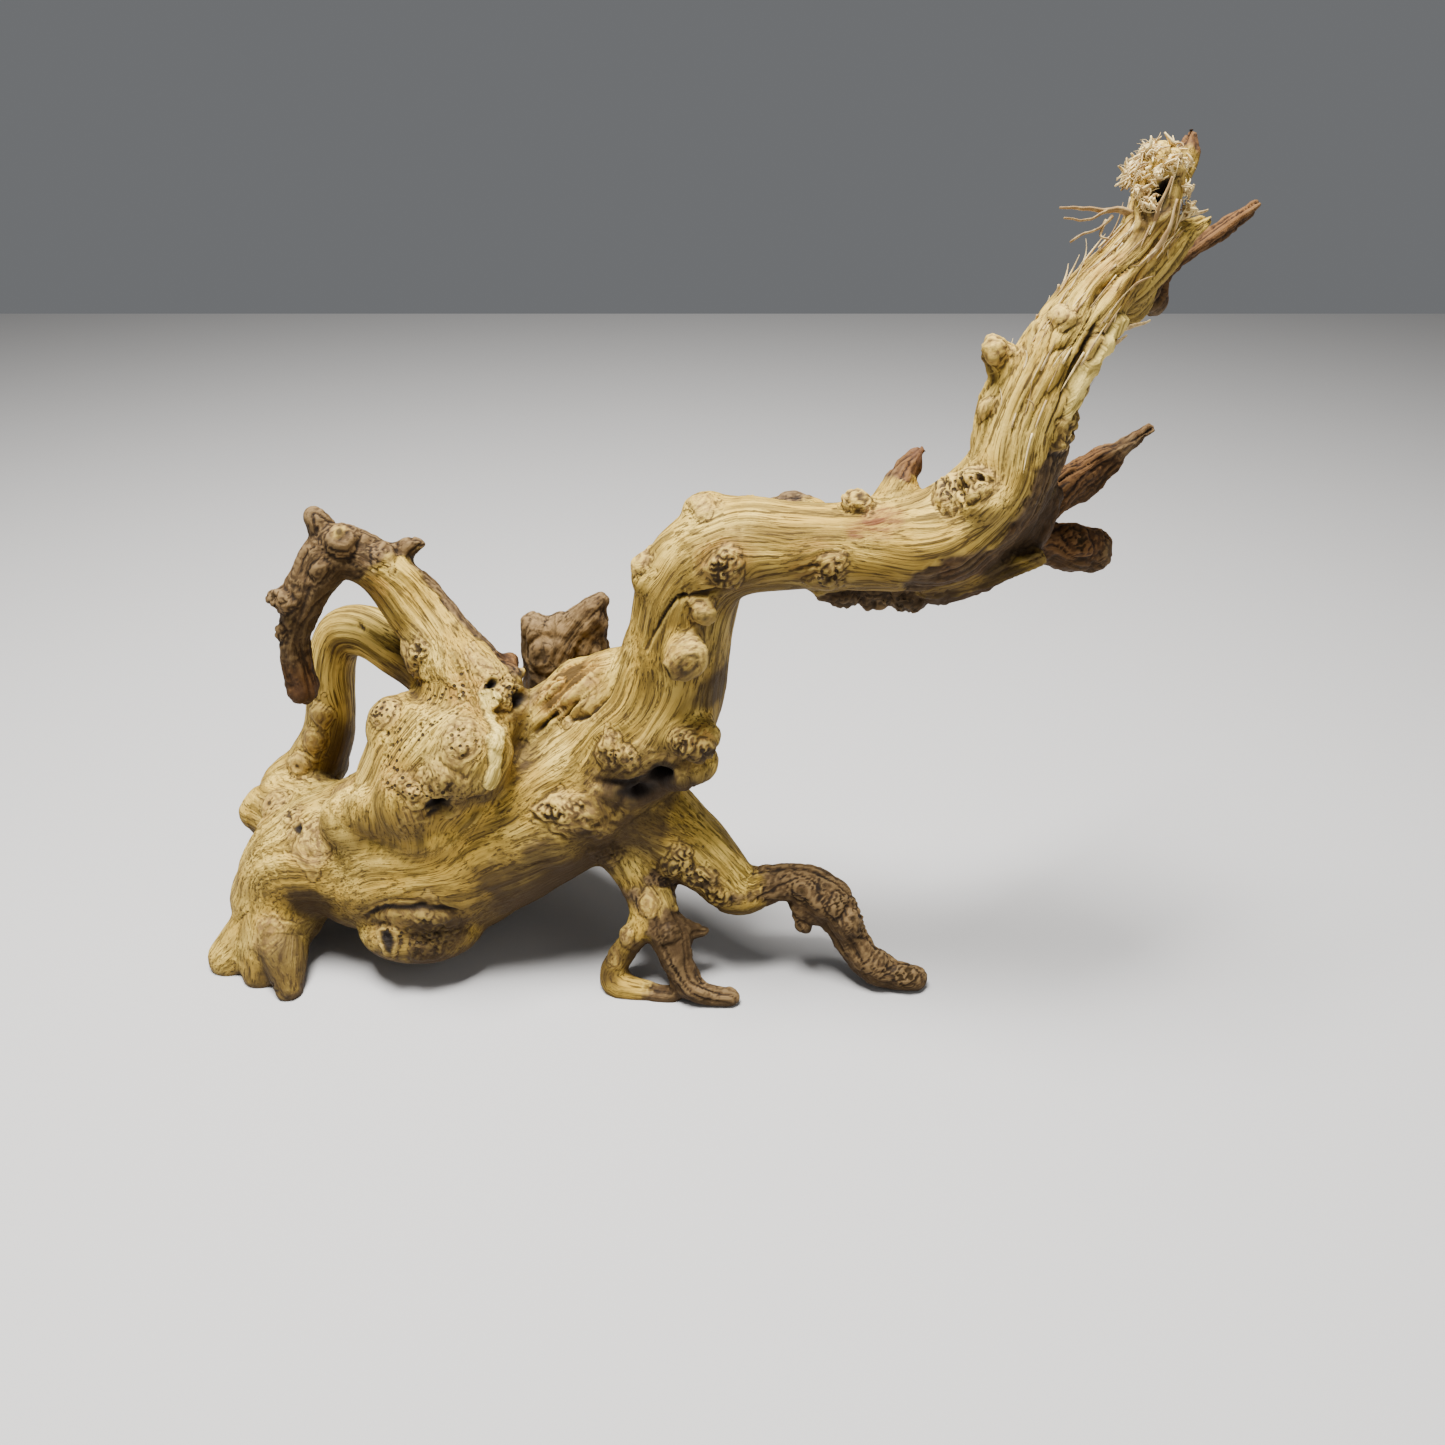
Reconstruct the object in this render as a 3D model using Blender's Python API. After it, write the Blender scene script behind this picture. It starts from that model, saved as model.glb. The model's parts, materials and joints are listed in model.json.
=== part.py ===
# Coral wood: one branching root piece, resting on its toes, root tips and belly.
# Lengths are in millimetres here and turned into metres when a mesh is made.
# X runs to the right, Y away from the front, Z up; the floor is Z = 0.
import math

import bpy
import bmesh
import numpy as np
from mathutils import Matrix, Vector

MM = 0.001
VOXEL = 2.0            # grid on which the limbs are fused
BLEND = 7              # rounds of smoothing where limbs meet
FACES = 8100           # triangles kept over the whole piece
CENTRE = (2.7, 0.7)    # middle of the finished box in the plan of the routes
GAP = 0.3              # saw line left at each main fork
RIDGE_DEPTH = 0.8      # lengthwise ridges of the wood
RIDGE_WIDTH = 13.0

# Routes of the limbs: x, y, z and radius at each hand-placed point.
LIMBS = {
    "belly": [(-172, -12, 24, 21), (-156, -10, 41, 27), (-130, -5, 43, 36),
              (-98, -6, 47, 42), (-60, -8, 64, 36), (-24, -9, 88, 31),
              (1, -12, 121, 25), (11, -15, 152, 20.5), (17, -19, 179, 20),
              (31, -23, 193, 19), (56, -27, 195, 15.5), (80, -31, 197, 16.5),
              (108, -33, 202, 18)],
    "arm": [(108, -33, 202, 17), (125, -34, 222, 16), (132, -33, 251, 14),
            (141, -31, 271, 12), (149, -29, 284, 10), (158, -27, 295, 8),
            (162, -25, 306, 8.4), (162, -24, 318, 7.6)],
    "shoulder": [(-98, -8, 66, 34), (-86, -12, 100, 31), (-76, -5, 120, 23),
                 (-88, 5, 142, 14.5), (-99, 10, 157, 12.3), (-111, 10, 173, 10.8),
                 (-124, 8, 180, 11.2), (-134, 5, 171, 9.5), (-141, 3, 159, 8.4),
                 (-146, 2, 147, 6.8), (-147, 2, 134, 6.4), (-146, 2, 120, 5.2)],
    "rear": [(-84, 12, 112, 18), (-98, 19, 122, 13), (-112, 25, 128, 12),
             (-125, 30, 134, 11.5), (-137, 32, 133, 10.9), (-144, 32, 122, 10.6),
             (-148, 32, 104, 10.8), (-153, 34, 83, 12), (-164, 38, 62, 14)],
    "heel": [(-163, 38, 62, 14), (-180, 39, 46, 15), (-184, 44, 26, 14),
             (-186, 49, 6, 12)],
    "leftEnd": [(-150, 6, 44, 26), (-174, 18, 46, 18), (-180, 34, 44, 15)],
    "toeOuter": [(-168, -15, 22, 18), (-180, -24, 11, 14), (-191, -31, 3, 10)],
    "toeFront": [(-170, -26, 20, 14), (-162, -42, 11, 9.5), (-159, -50, 3, 6.5)],
    "flank": [(-110, -4, 60, 26), (-104, -8, 84, 20), (-98, -7, 106, 17)],
    "hump": [(-48, 0, 106, 15), (-30, -3, 122, 13), (-14, -8, 134, 11)],
    "back": [(-96, 12, 50, 34), (-86, 30, 24, 20), (-82, 36, 5, 13)],
    "saddle": [(-50, 6, 74, 30), (-46, 24, 86, 19), (-49, 30, 105, 14)],
    "stump": [(-48, 28, 96, 15), (-49, 30, 112, 12.5), (-51, 30, 132, 9)],
    "stumpLobe": [(-46, 30, 118, 10), (-36, 30, 134, 8), (-27, 30, 146, 6)],
    "hub": [(-20, -10, 80, 26), (0, -15, 68, 20), (18, -22, 55, 16.5),
            (35, -29, 40, 12.5), (46, -30, 43, 9), (60, -31, 45, 8.5),
            (73, -34, 39, 10.3), (80, -37, 27, 8), (88, -42, 14, 8.2),
            (99, -45, 7, 7), (112, -46, 4.5, 5.6)],
    "legOuter": [(-12, -18, 54, 15), (-7, -24, 44, 12), (0, -36, 32, 10.3),
                 (6, -42, 25, 8.5), (9, -48, 16, 7.4), (14, -53, 8, 6.6),
                 (22, -55, 4, 5), (32, -56, 3, 4)],
    "legInner": [(-3, -34, 33, 8), (-8, -40, 27, 6.6), (-15, -42, 16, 5.6),
                 (-20, -44, 6, 6), (-17, -48, 2, 6), (-2, -51, 1, 4.6),
                 (6, -53, 1, 4)],
    "stub": [(124, -24, 197, 12), (135, -15, 190, 8.5), (150, -8, 189, 7),
             (166, 0, 185, 9.2), (176, 4, 182, 7.4)],
    "splinter": [(126, -22, 204, 10), (140, -13, 203, 7.5), (152, -8, 210, 7.2),
                 (163, -4, 217, 4.8), (173, -2, 222, 3.4), (185, 2, 231, 2)],
    "splinterLow": [(150, -8, 204, 6), (164, -5, 210, 3.4), (174, -5, 217, 2)],
    "web": [(104, -26, 184, 8), (124, -23, 191, 10), (140, -18, 202, 9)],
    "spar": [(66, -26, 179, 6), (84, -25, 176, 5), (112, -33, 184, 6),
             (138, -38, 195, 4)],
    "horn": [(84, -28, 203, 10), (89, -24, 214, 7), (93, -20, 220, 5.3),
             (98, -18, 228, 2.6)],
    "sideRidge": [(117, -34, 232, 6), (115, -33, 246, 4), (119, -33, 256, 4),
                  (116, -33, 265, 4.6)],
    "rod": [(160, -22, 276, 7), (170, -15, 284, 4.6), (178, -10, 288, 4),
            (190, -6, 296, 3.6), (204, 0, 304, 3)],
    "peg": [(163, -22, 308, 6), (170, -18, 315, 4.4), (172, -16, 326, 2.8)],
}

# Rounded lumps: centre and half sizes along x, y and z.
LUMPS = [
    ((-183, 17, 50), (12, 13, 12)), ((-102, -34, 23), (27, 17, 13)),
    ((-74, -30, 108), (20, 16, 22)), ((-98, -36, 90), (15, 12, 18)),
    ((-40, -36, 66), (13, 7, 8)), ((16, -38, 150), (8, 7, 8)),
    ((22, -34, 166), (8, 8, 7)), ((16, -34, 120), (12, 9, 8)),
    ((12, -28, 104), (14, 12, 10)), ((116, -48, 218), (8, 6, 7)),
    ((170, -14, 277), (6, 6, 5)), ((-130, 7, 191), (3.6, 3.6, 6)),
    ((-101, 18, 176), (4, 4, 4)), ((-62, 8, 129), (5, 5, 6)),
    ((53, -14, 208), (6, 6, 4)), ((75, -32, 212), (6, 6, 5)),
    ((-151, 2, 160), (3.4, 4, 4)), ((-149, 0, 147), (4, 4, 4)),
    ((0, -24, 181), (6, 8, 8)), ((22, -20, 208), (10, 9, 5)),
    ((80, -44, 32), (5, 5, 7)), ((20, -38, 26), (4, 4, 4)),
]

# Knots and hollows: place on the skin, radius, rise of the mound and depth of
# the pit in its middle. A negative rise is a shallow hollow.
KNOTS = [
    (-179, 6, 60, 10, 2.6, 1.6), (-166, -41, 25, 7, 1.6, 0.6),
    (-150, -24, 67, 6, 0.6, 1.2), (-135, -7, 76, 7, 1.8, 0),
    (-99, -46, 32, 15, 2.0, 0), (-110, -47, 30, 5, 1.2, 2.2),
    (-89, -46, 29, 5, 1.2, 2.2), (-85, -43, 101, 8, 0, 6.5),
    (-98, -37, 111, 8, 1.6, 2.2), (-77, -21, 135, 9, 2.2, 2.4),
    (-82, -39, 124, 15, 2.6, 0), (-70, -36, 128, 6, 1.2, 2.0),
    (-62, -42, 112, 6, 2.4, 0), (-59, -34, 120, 6, 2.4, 0),
    (-57, -18, 126, 6, 2.0, 0), (-54, -11, 122, 8, 0, 5.5),
    (-99, -3, 137, 6, 1.6, 0.6), (-31, -40, 87, 11, 3.0, 2.0),
    (-20, -34, 111, 5, 2.4, 1.0), (-12, -36, 110, 6, 2.4, 1.0),
    (5, -38, 106, 9, 0, 8.5), (19, -42, 123, 7, 2.6, 1.4),
    (16, -41, 157, 9, 2.0, 1.4), (8, -37, 152, 4, 0, 2.6),
    (19, -38, 174, 8, 2.0, 1.0), (29, -41, 194, 8, 2.6, 2.0),
    (65, -44, 191, 7, 2.2, 1.2), (20, -25, 212, 6, 2.0, 0),
    (34, -35, 208, 6, 1.6, 0), (82, -41, 210, 8, -1.0, 0),
    (109, -41, 224, 9, 2.6, 0), (105, -39, 221, 5, 1.0, 2.4),
    (112, -45, 224, 5, 1.0, 2.4), (82, -29, 173, 6, 2.2, 0),
    (93, -31, 174, 6, 2.4, 0), (103, -35, 178, 6, 2.2, 0),
    (141, -43, 239, 5, 2.0, 0.8), (114, -36, 250, 5, 1.6, 0),
    (133, -39, 277, 4, 1.6, 0), (147, -40, 266, 7, 2.2, 0),
    (130, -47, 246, 7, -1.4, 0), (161, -33, 308, 6, 0, 4.5),
    (163, -10, 188, 7, 1.2, 1.4), (15, -36, 65, 6, 2.2, 1.0),
    (4, -35, 60, 6, 2.2, 1.0), (-7, -36, 48, 5, 1.8, 0.8),
    (79, -42, 42, 6, 2.0, 0.6), (104, -51, 8, 6, 1.2, 0),
    (-116, 1, 185, 6, 2.0, 0.6), (-88, -8, 149, 6, 1.8, 0.6),
    (-144, -3, 164, 5, 1.8, 0), (-146, -3, 126, 5, 0.8, 0),
    (-151, 22, 97, 6, 1.8, 0), (-167, 25, 69, 7, 1.8, 0.8),
    (-100, 40, 60, 10, 3.0, 2.2), (-60, 30, 88, 8, 2.4, 1.2),
    (-136, 30, 52, 9, 2.4, 1.6), (0, 14, 118, 9, 2.6, 1.8),
    (8, 6, 160, 7, 2.0, 1.0), (38, -4, 200, 7, 2.2, 1.0),
    (92, -14, 196, 7, 2.2, 1.4), (134, -18, 240, 6, 2.0, 1.0),
    (145, -18, 276, 6, 1.8, 0.8), (-70, 18, 118, 7, 2.0, 1.0),
]

# Each fork: name of the piece cut off, centre of the saw line, its direction
# and the radius of the cut.
FORKS = [
    ("rising_limb", (4, -15, 124), (0.45, -0.12, 0.88), 36),
    ("upper_arm", (124, -34, 221), (0.5, 0.0, 0.86), 23),
    ("elbow_stub", (144, -12, 197), (0.85, 0.5, 0.1), 17),
    ("arch_branch", (-92, 7, 147), (-0.57, 0.26, 0.78), 18),
    ("rear_root", (-114, 26, 129), (-0.85, 0.35, 0.38), 16),
    ("rear_root", (-153, 34, 81), (-0.3, 0.1, -0.95), 17),
    ("back_stump", (-49, 30, 112), (0.0, 0.0, 1.0), 17),
    ("right_root", (28, -26, 47), (0.68, -0.28, -0.68), 17.5),
    ("front_roots", (-3, -33, 36), (0.1, -0.35, -0.93), 14.5),
    ("limb_horn", (92, -21, 219), (0.3, 0.2, 0.93), 8),
    ("tip_twig", (176, -11, 287), (0.75, 0.4, 0.5), 8),
]

# A point inside each piece, used to give the cut pieces their names.
INSIDE = {
    "trunk": (-98, -6, 47), "rising_limb": (31, -23, 193),
    "upper_arm": (131, -33, 249), "elbow_stub": (166, 0, 185),
    "arch_branch": (-124, 8, 180), "rear_root": (-144, 32, 122),
    "back_stump": (-50, 30, 124), "right_root": (73, -34, 39),
    "front_roots": (6, -42, 25), "limb_horn": (93, -20, 220),
    "tip_twig": (190, -6, 296),
}

STRAW = (0.52, 0.38, 0.17, 1.0)
BARK = (0.10, 0.062, 0.038, 1.0)
FINISH = {
    "trunk": STRAW, "rising_limb": STRAW, "upper_arm": STRAW,
    "elbow_stub": BARK, "arch_branch": (0.30, 0.20, 0.10, 1.0),
    "rear_root": STRAW, "back_stump": BARK,
    "right_root": (0.22, 0.14, 0.08, 1.0), "front_roots": (0.26, 0.17, 0.09, 1.0),
    "limb_horn": BARK, "tip_twig": BARK,
}


def clearScene():
    for item in list(bpy.data.objects):
        bpy.data.objects.remove(item, do_unlink=True)


def addTube(name, stations):
    # a curve through the points, thick by its own radius at each of them
    curve = bpy.data.curves.new(name, "CURVE")
    curve.dimensions = "3D"
    curve.bevel_depth = MM
    curve.bevel_resolution = 5
    curve.resolution_u = 8
    curve.use_fill_caps = True
    spline = curve.splines.new("BEZIER")
    spline.bezier_points.add(len(stations) - 1)
    for point, (x, y, z, radius) in zip(spline.bezier_points, stations):
        point.co = (x * MM, y * MM, z * MM)
        point.radius = radius
        point.handle_left_type = "AUTO"
        point.handle_right_type = "AUTO"
    holder = bpy.data.objects.new(name, curve)
    bpy.context.collection.objects.link(holder)
    bpy.context.view_layer.update()
    graph = bpy.context.evaluated_depsgraph_get()
    mesh = bpy.data.meshes.new_from_object(holder.evaluated_get(graph))
    bpy.data.objects.remove(holder, do_unlink=True)
    return mesh


def addBall(bm, centre, halfSizes):
    shape = Matrix.Translation(Vector(centre) * MM)
    shape = shape @ Matrix.Diagonal([s * MM for s in halfSizes]).to_4x4()
    bmesh.ops.create_icosphere(bm, subdivisions=3, radius=1.0, matrix=shape)


def applied(item):
    # the mesh of an object with its modifiers worked in
    bpy.context.view_layer.update()
    graph = bpy.context.evaluated_depsgraph_get()
    return bpy.data.meshes.new_from_object(item.evaluated_get(graph))


def fuse():
    # all limbs and lumps become one closed skin
    bm = bmesh.new()
    for name, stations in LIMBS.items():
        mesh = addTube(name, stations)
        bm.from_mesh(mesh)
        bpy.data.meshes.remove(mesh)
        for x, y, z, radius in (stations[0], stations[-1]):
            addBall(bm, (x, y, z), (radius, radius, radius))
    for centre, halfSizes in LUMPS:
        addBall(bm, centre, halfSizes)
    mesh = bpy.data.meshes.new("wood")
    bm.to_mesh(mesh)
    bm.free()
    wood = bpy.data.objects.new("wood", mesh)
    bpy.context.collection.objects.link(wood)
    remesh = wood.modifiers.new("fuse", "REMESH")
    remesh.mode = "VOXEL"
    remesh.voxel_size = VOXEL * MM
    wood.data = applied(wood)
    wood.modifiers.clear()
    return wood


def smooth(mesh, rounds):
    # shrink and swell in turn, so that creases go and thickness stays
    count = len(mesh.vertices)
    points = np.empty(count * 3)
    mesh.vertices.foreach_get("co", points)
    points = points.reshape(-1, 3)
    edges = np.empty(len(mesh.edges) * 2, dtype=np.int64)
    mesh.edges.foreach_get("vertices", edges)
    first, second = edges.reshape(-1, 2).T
    degree = np.bincount(edges, minlength=count)
    for step in range(rounds * 2):
        weight = 0.6 if step % 2 == 0 else -0.57
        mean = np.empty_like(points)
        for axis in range(3):
            total = np.bincount(first, points[second, axis], count)
            total += np.bincount(second, points[first, axis], count)
            mean[:, axis] = total / degree
        points += weight * (mean - points)
    mesh.vertices.foreach_set("co", points.ravel())
    mesh.update()


def limbAxes():
    # points along every limb with a pair of steady side directions each
    rows = []
    for stations in LIMBS.values():
        points = np.array(stations, dtype=float)
        pieces = []
        for start, end in zip(points[:-1], points[1:]):
            steps = max(2, int(np.linalg.norm(end[:3] - start[:3]) / 3))
            share = np.linspace(0, 1, steps, endpoint=False)[:, None]
            pieces.append(start + (end - start) * share)
        path = np.vstack(pieces + [points[-1:]])
        ahead = np.gradient(path[:, :3], axis=0)
        ahead /= np.linalg.norm(ahead, axis=1)[:, None]
        side = np.cross(ahead[0], (0.2, 1.0, 0.1))
        for place, direction in zip(path, ahead):
            side = side - direction * (side @ direction)
            side = side / np.linalg.norm(side)
            across = np.cross(direction, side)
            rows.append(np.concatenate((place, side, across)))
    return np.array(rows)


def addRelief(mesh):
    # lengthwise ridges, then knots and hollows, pushed along the normals
    count = len(mesh.vertices)
    points = np.empty(count * 3)
    normals = np.empty(count * 3)
    mesh.vertices.foreach_get("co", points)
    mesh.vertex_normals.foreach_get("vector", normals)
    points = points.reshape(-1, 3) / MM
    normals = normals.reshape(-1, 3)
    axes = limbAxes()
    best = np.full(count, 1e9)
    angle = np.zeros(count)
    radius = np.ones(count)
    for row in axes:
        away = points - row[:3]
        depth = np.linalg.norm(away, axis=1) - row[3]
        near = depth < best
        best[near] = depth[near]
        angle[near] = np.arctan2(away[near] @ row[7:10], away[near] @ row[4:7])
        radius[near] = row[3]
    waves = np.maximum(2, np.round(2 * math.pi * radius / RIDGE_WIDTH))
    drift = 0.05 * points[:, 0] + 0.04 * points[:, 2]
    push = RIDGE_DEPTH * np.sin(waves * angle + drift) * np.minimum(1, radius / 15)
    push += 0.5 * RIDGE_DEPTH * np.sin(0.21 * points[:, 0] + 0.17 * points[:, 2])
    push = np.where(points[:, 2] < 4, 0.0, push)
    for x, y, z, size, rise, pit in KNOTS:
        spot = points[np.argmin(((points - (x, y, z)) ** 2).sum(axis=1))]
        away = np.linalg.norm(points - spot, axis=1) / size
        mound = np.clip(1 - away ** 2, 0, 1) ** 2
        push += rise * mound - pit * np.exp(-(away / 0.42) ** 2)
    points += normals * push[:, None]
    mesh.vertices.foreach_set("co", (points * MM).ravel())
    mesh.update()


def thinOut(item):
    # fewer, larger facets
    cut = item.modifiers.new("thin", "DECIMATE")
    cut.ratio = FACES / (2 * len(item.data.polygons))
    cut.use_collapse_triangulate = True
    item.data = applied(item)
    item.modifiers.clear()


def levelFeet(mesh):
    # everything under the floor is sliced off, which leaves flat soles
    bm = bmesh.new()
    bm.from_mesh(mesh)
    everything = bm.verts[:] + bm.edges[:] + bm.faces[:]
    sliced = bmesh.ops.bisect_plane(bm, geom=everything, dist=0.000001,
                                    plane_co=(0, 0, 0), plane_no=(0, 0, -1),
                                    clear_outer=True)
    rim = [part for part in sliced["geom_cut"] if isinstance(part, bmesh.types.BMEdge)]
    bmesh.ops.holes_fill(bm, edges=rim, sides=0)
    bmesh.ops.triangulate(bm, faces=bm.faces[:])
    bmesh.ops.recalc_face_normals(bm, faces=bm.faces[:])
    bm.to_mesh(mesh)
    bm.free()


def sawForks(item):
    # thin round slabs part the wood at its main forks
    bm = bmesh.new()
    for name, centre, direction, radius in FORKS:
        turn = Vector((0, 0, 1)).rotation_difference(Vector(direction))
        place = Matrix.Translation(Vector(centre) * MM) @ turn.to_matrix().to_4x4()
        bmesh.ops.create_cone(bm, cap_ends=True, segments=20, radius1=radius * MM,
                              radius2=radius * MM, depth=GAP * MM, matrix=place)
    mesh = bpy.data.meshes.new("saw")
    bm.to_mesh(mesh)
    bm.free()
    saw = bpy.data.objects.new("saw", mesh)
    bpy.context.collection.objects.link(saw)
    saw.hide_render = True
    saw.display_type = "WIRE"
    cut = item.modifiers.new("saw", "BOOLEAN")
    cut.operation = "DIFFERENCE"
    cut.solver = "EXACT"
    cut.object = saw
    item.data = applied(item)
    item.modifiers.clear()
    bpy.data.objects.remove(saw, do_unlink=True)


def islands(bm):
    # groups of faces that hang together
    unseen = set(bm.verts)
    groups = []
    while unseen:
        start = unseen.pop()
        group = {start}
        front = [start]
        while front:
            for edge in front.pop().link_edges:
                for vert in edge.verts:
                    if vert in unseen:
                        unseen.discard(vert)
                        group.add(vert)
                        front.append(vert)
        groups.append(group)
    return groups


def finish(name):
    look = bpy.data.materials.new(name)
    look.use_nodes = True
    shader = look.node_tree.nodes["Principled BSDF"]
    shader.inputs["Base Color"].default_value = FINISH[name]
    shader.inputs["Roughness"].default_value = 0.7
    shader.inputs["Metallic"].default_value = 0.0
    return look


def splitPieces(item):
    # every island becomes an object named after the point that lies in it
    bm = bmesh.new()
    bm.from_mesh(item.data)
    groups = islands(bm)
    print("islands", sorted(len(group) for group in groups))
    for name, inside in INSIDE.items():
        target = Vector(inside) * MM
        group = min(groups, key=lambda g: min((v.co - target).length for v in g))
        keep = {vert.index for vert in group}
        copy = bm.copy()
        bmesh.ops.delete(copy, geom=[v for v in copy.verts if v.index not in keep],
                         context="VERTS")
        bmesh.ops.triangulate(copy, faces=copy.faces[:])
        bmesh.ops.translate(copy, verts=copy.verts[:],
                            vec=(-CENTRE[0] * MM, -CENTRE[1] * MM, 0.0))
        mesh = bpy.data.meshes.new(name)
        copy.to_mesh(mesh)
        copy.free()
        mesh.materials.append(finish(name))
        piece = bpy.data.objects.new(name, mesh)
        bpy.context.collection.objects.link(piece)
        print(name, len(mesh.polygons))
    bm.free()
    bpy.data.objects.remove(item, do_unlink=True)


clearScene()
wood = fuse()
smooth(wood.data, BLEND)
addRelief(wood.data)
smooth(wood.data, 1)
thinOut(wood)
levelFeet(wood.data)
sawForks(wood)
splitPieces(wood)
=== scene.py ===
import json
import math

import bmesh
import bpy
import numpy as np
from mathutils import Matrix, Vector
from mathutils.bvhtree import BVHTree

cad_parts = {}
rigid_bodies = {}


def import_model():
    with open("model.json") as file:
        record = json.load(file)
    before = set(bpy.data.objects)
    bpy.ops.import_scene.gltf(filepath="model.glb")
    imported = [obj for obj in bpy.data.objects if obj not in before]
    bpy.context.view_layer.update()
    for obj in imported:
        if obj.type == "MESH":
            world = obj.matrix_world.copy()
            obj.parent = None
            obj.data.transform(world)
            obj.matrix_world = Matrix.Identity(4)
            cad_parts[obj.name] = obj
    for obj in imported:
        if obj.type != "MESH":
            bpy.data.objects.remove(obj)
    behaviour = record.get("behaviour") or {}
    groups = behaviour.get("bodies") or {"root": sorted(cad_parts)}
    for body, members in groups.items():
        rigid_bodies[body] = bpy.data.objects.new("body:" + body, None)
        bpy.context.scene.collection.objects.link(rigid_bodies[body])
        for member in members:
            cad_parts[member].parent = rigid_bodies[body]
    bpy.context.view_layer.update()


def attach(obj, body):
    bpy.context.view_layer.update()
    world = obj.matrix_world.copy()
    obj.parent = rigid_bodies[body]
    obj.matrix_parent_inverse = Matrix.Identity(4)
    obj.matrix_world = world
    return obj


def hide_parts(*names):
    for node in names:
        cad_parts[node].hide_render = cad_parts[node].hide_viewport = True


# Coral wood: the looks of one grown root piece. Lengths are in millimetres
# until a mesh is written, X to the right, Y away from the front, Z up.

for startup in list(bpy.data.objects):
    bpy.data.objects.remove(startup)
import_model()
mm = 0.001
boxMiddle = np.array([2.7, 0.7, 0.0])    # plan middle of the routes below

skin = {
    "fuseGrid": 2.05,    # grid on which the limbs grow together
    "blendRounds": 9,      # smoothing where they meet
    "halvings": 1,         # finer quads after that
    "pieceLimit": 190000,     # triangles, past which a piece is thinned where it is flat
    "occlusionShadeReach": 45,       # how far off other wood still casts painted shade on a place
    "occlusionShadeRays": 22,
}


# Small numpy tools

def scatter(x, y, z, seed):
    # a steady random whole number below 2^32 for each grid corner: the corner
    # times large primes, its bits then mixed by shift, exclusive or and product
    key = (x * 374761393 + y * 668265263 + z * 1440662683 + seed * 974711) & 0xFFFFFFFF
    key = ((key ^ (key >> 13)) * 1274126177) & 0xFFFFFFFF
    key = ((key ^ (key >> 16)) * 2246822519) & 0xFFFFFFFF
    return key ^ (key >> 15)


def latticeNoise(points, seed):
    # smooth noise from -1 to 1: random values on a unit grid, blended by
    # 3t^2 - 2t^3 along each axis
    cell = np.floor(points).astype(np.int64)
    part = points - cell
    part = part * part * (3 - 2 * part)
    total = np.zeros(len(points))
    for dx in (0, 1):
        for dy in (0, 1):
            for dz in (0, 1):
                key = scatter(cell[:, 0] + dx, cell[:, 1] + dy, cell[:, 2] + dz, seed)
                weight = part[:, 0] if dx else 1 - part[:, 0]
                weight = weight * (part[:, 1] if dy else 1 - part[:, 1])
                weight = weight * (part[:, 2] if dz else 1 - part[:, 2])
                total += (key / 2147483647.5 - 1) * weight
    return total


def layeredNoise(points, layers, seed):
    # the same noise at halving sizes, each half as strong
    total = np.zeros(len(points))
    for layer in range(layers):
        total += latticeNoise(points * 2 ** layer, seed + 7 * layer) / 2 ** layer
    return total


def cellNoise(points, seed):
    # distances to the nearest and the second nearest of scattered points, one
    # point to each cell of a unit grid
    cell = np.floor(points).astype(np.int64)
    first = np.full(len(points), 9.0)
    second = np.full(len(points), 9.0)
    for dx in (-1, 0, 1):
        for dy in (-1, 0, 1):
            for dz in (-1, 0, 1):
                corner = cell + (dx, dy, dz)
                gap = np.zeros(len(points))
                for axis in range(3):
                    key = scatter(corner[:, 0], corner[:, 1], corner[:, 2], seed + axis * 31)
                    gap += (corner[:, axis] + key / 4294967295.0 - points[:, axis]) ** 2
                gap = np.sqrt(gap)
                second = np.minimum(second, np.maximum(first, gap))
                first = np.minimum(first, gap)
    return first, second


def ramp(value, low, high):
    # 0 below low, 1 above high, smooth between
    share = np.clip((value - low) / (high - low), 0, 1)
    return share * share * (3 - 2 * share)


def curveThrough(stations, step):
    # a smooth route through the stations: the cubic through each pair whose
    # slopes follow their neighbours, every column blended alike
    rows = np.array(stations, dtype=float)
    padded = np.vstack((2 * rows[0] - rows[1], rows, 2 * rows[-1] - rows[-2]))
    pieces = []
    for k in range(1, len(padded) - 2):
        a, b, c, d = padded[k - 1:k + 3]
        count = max(2, int(np.linalg.norm(c[:3] - b[:3]) / step))
        t = np.arange(count)[:, None] / count
        pieces.append(0.5 * (2 * b + (c - a) * t + (2 * a - 5 * b + 4 * c - d) * t ** 2
                             + (3 * b - a - 3 * c + d) * t ** 3))
    path = np.vstack(pieces + [rows[-1:]])
    path[:, 3] = np.maximum(path[:, 3], 0.4)
    return path


def sideFrames(path):
    # a steady pair of side directions along a route
    ahead = np.gradient(path[:, :3], axis=0)
    ahead /= np.linalg.norm(ahead, axis=1)[:, None]
    side = np.cross(ahead[0], (0.2, 1.0, 0.1))
    sides = np.empty_like(ahead)
    for k, direction in enumerate(ahead):
        side = side - direction * (side @ direction)
        side = side / np.linalg.norm(side)
        sides[k] = side
    return ahead, sides, np.cross(ahead, sides)


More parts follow.
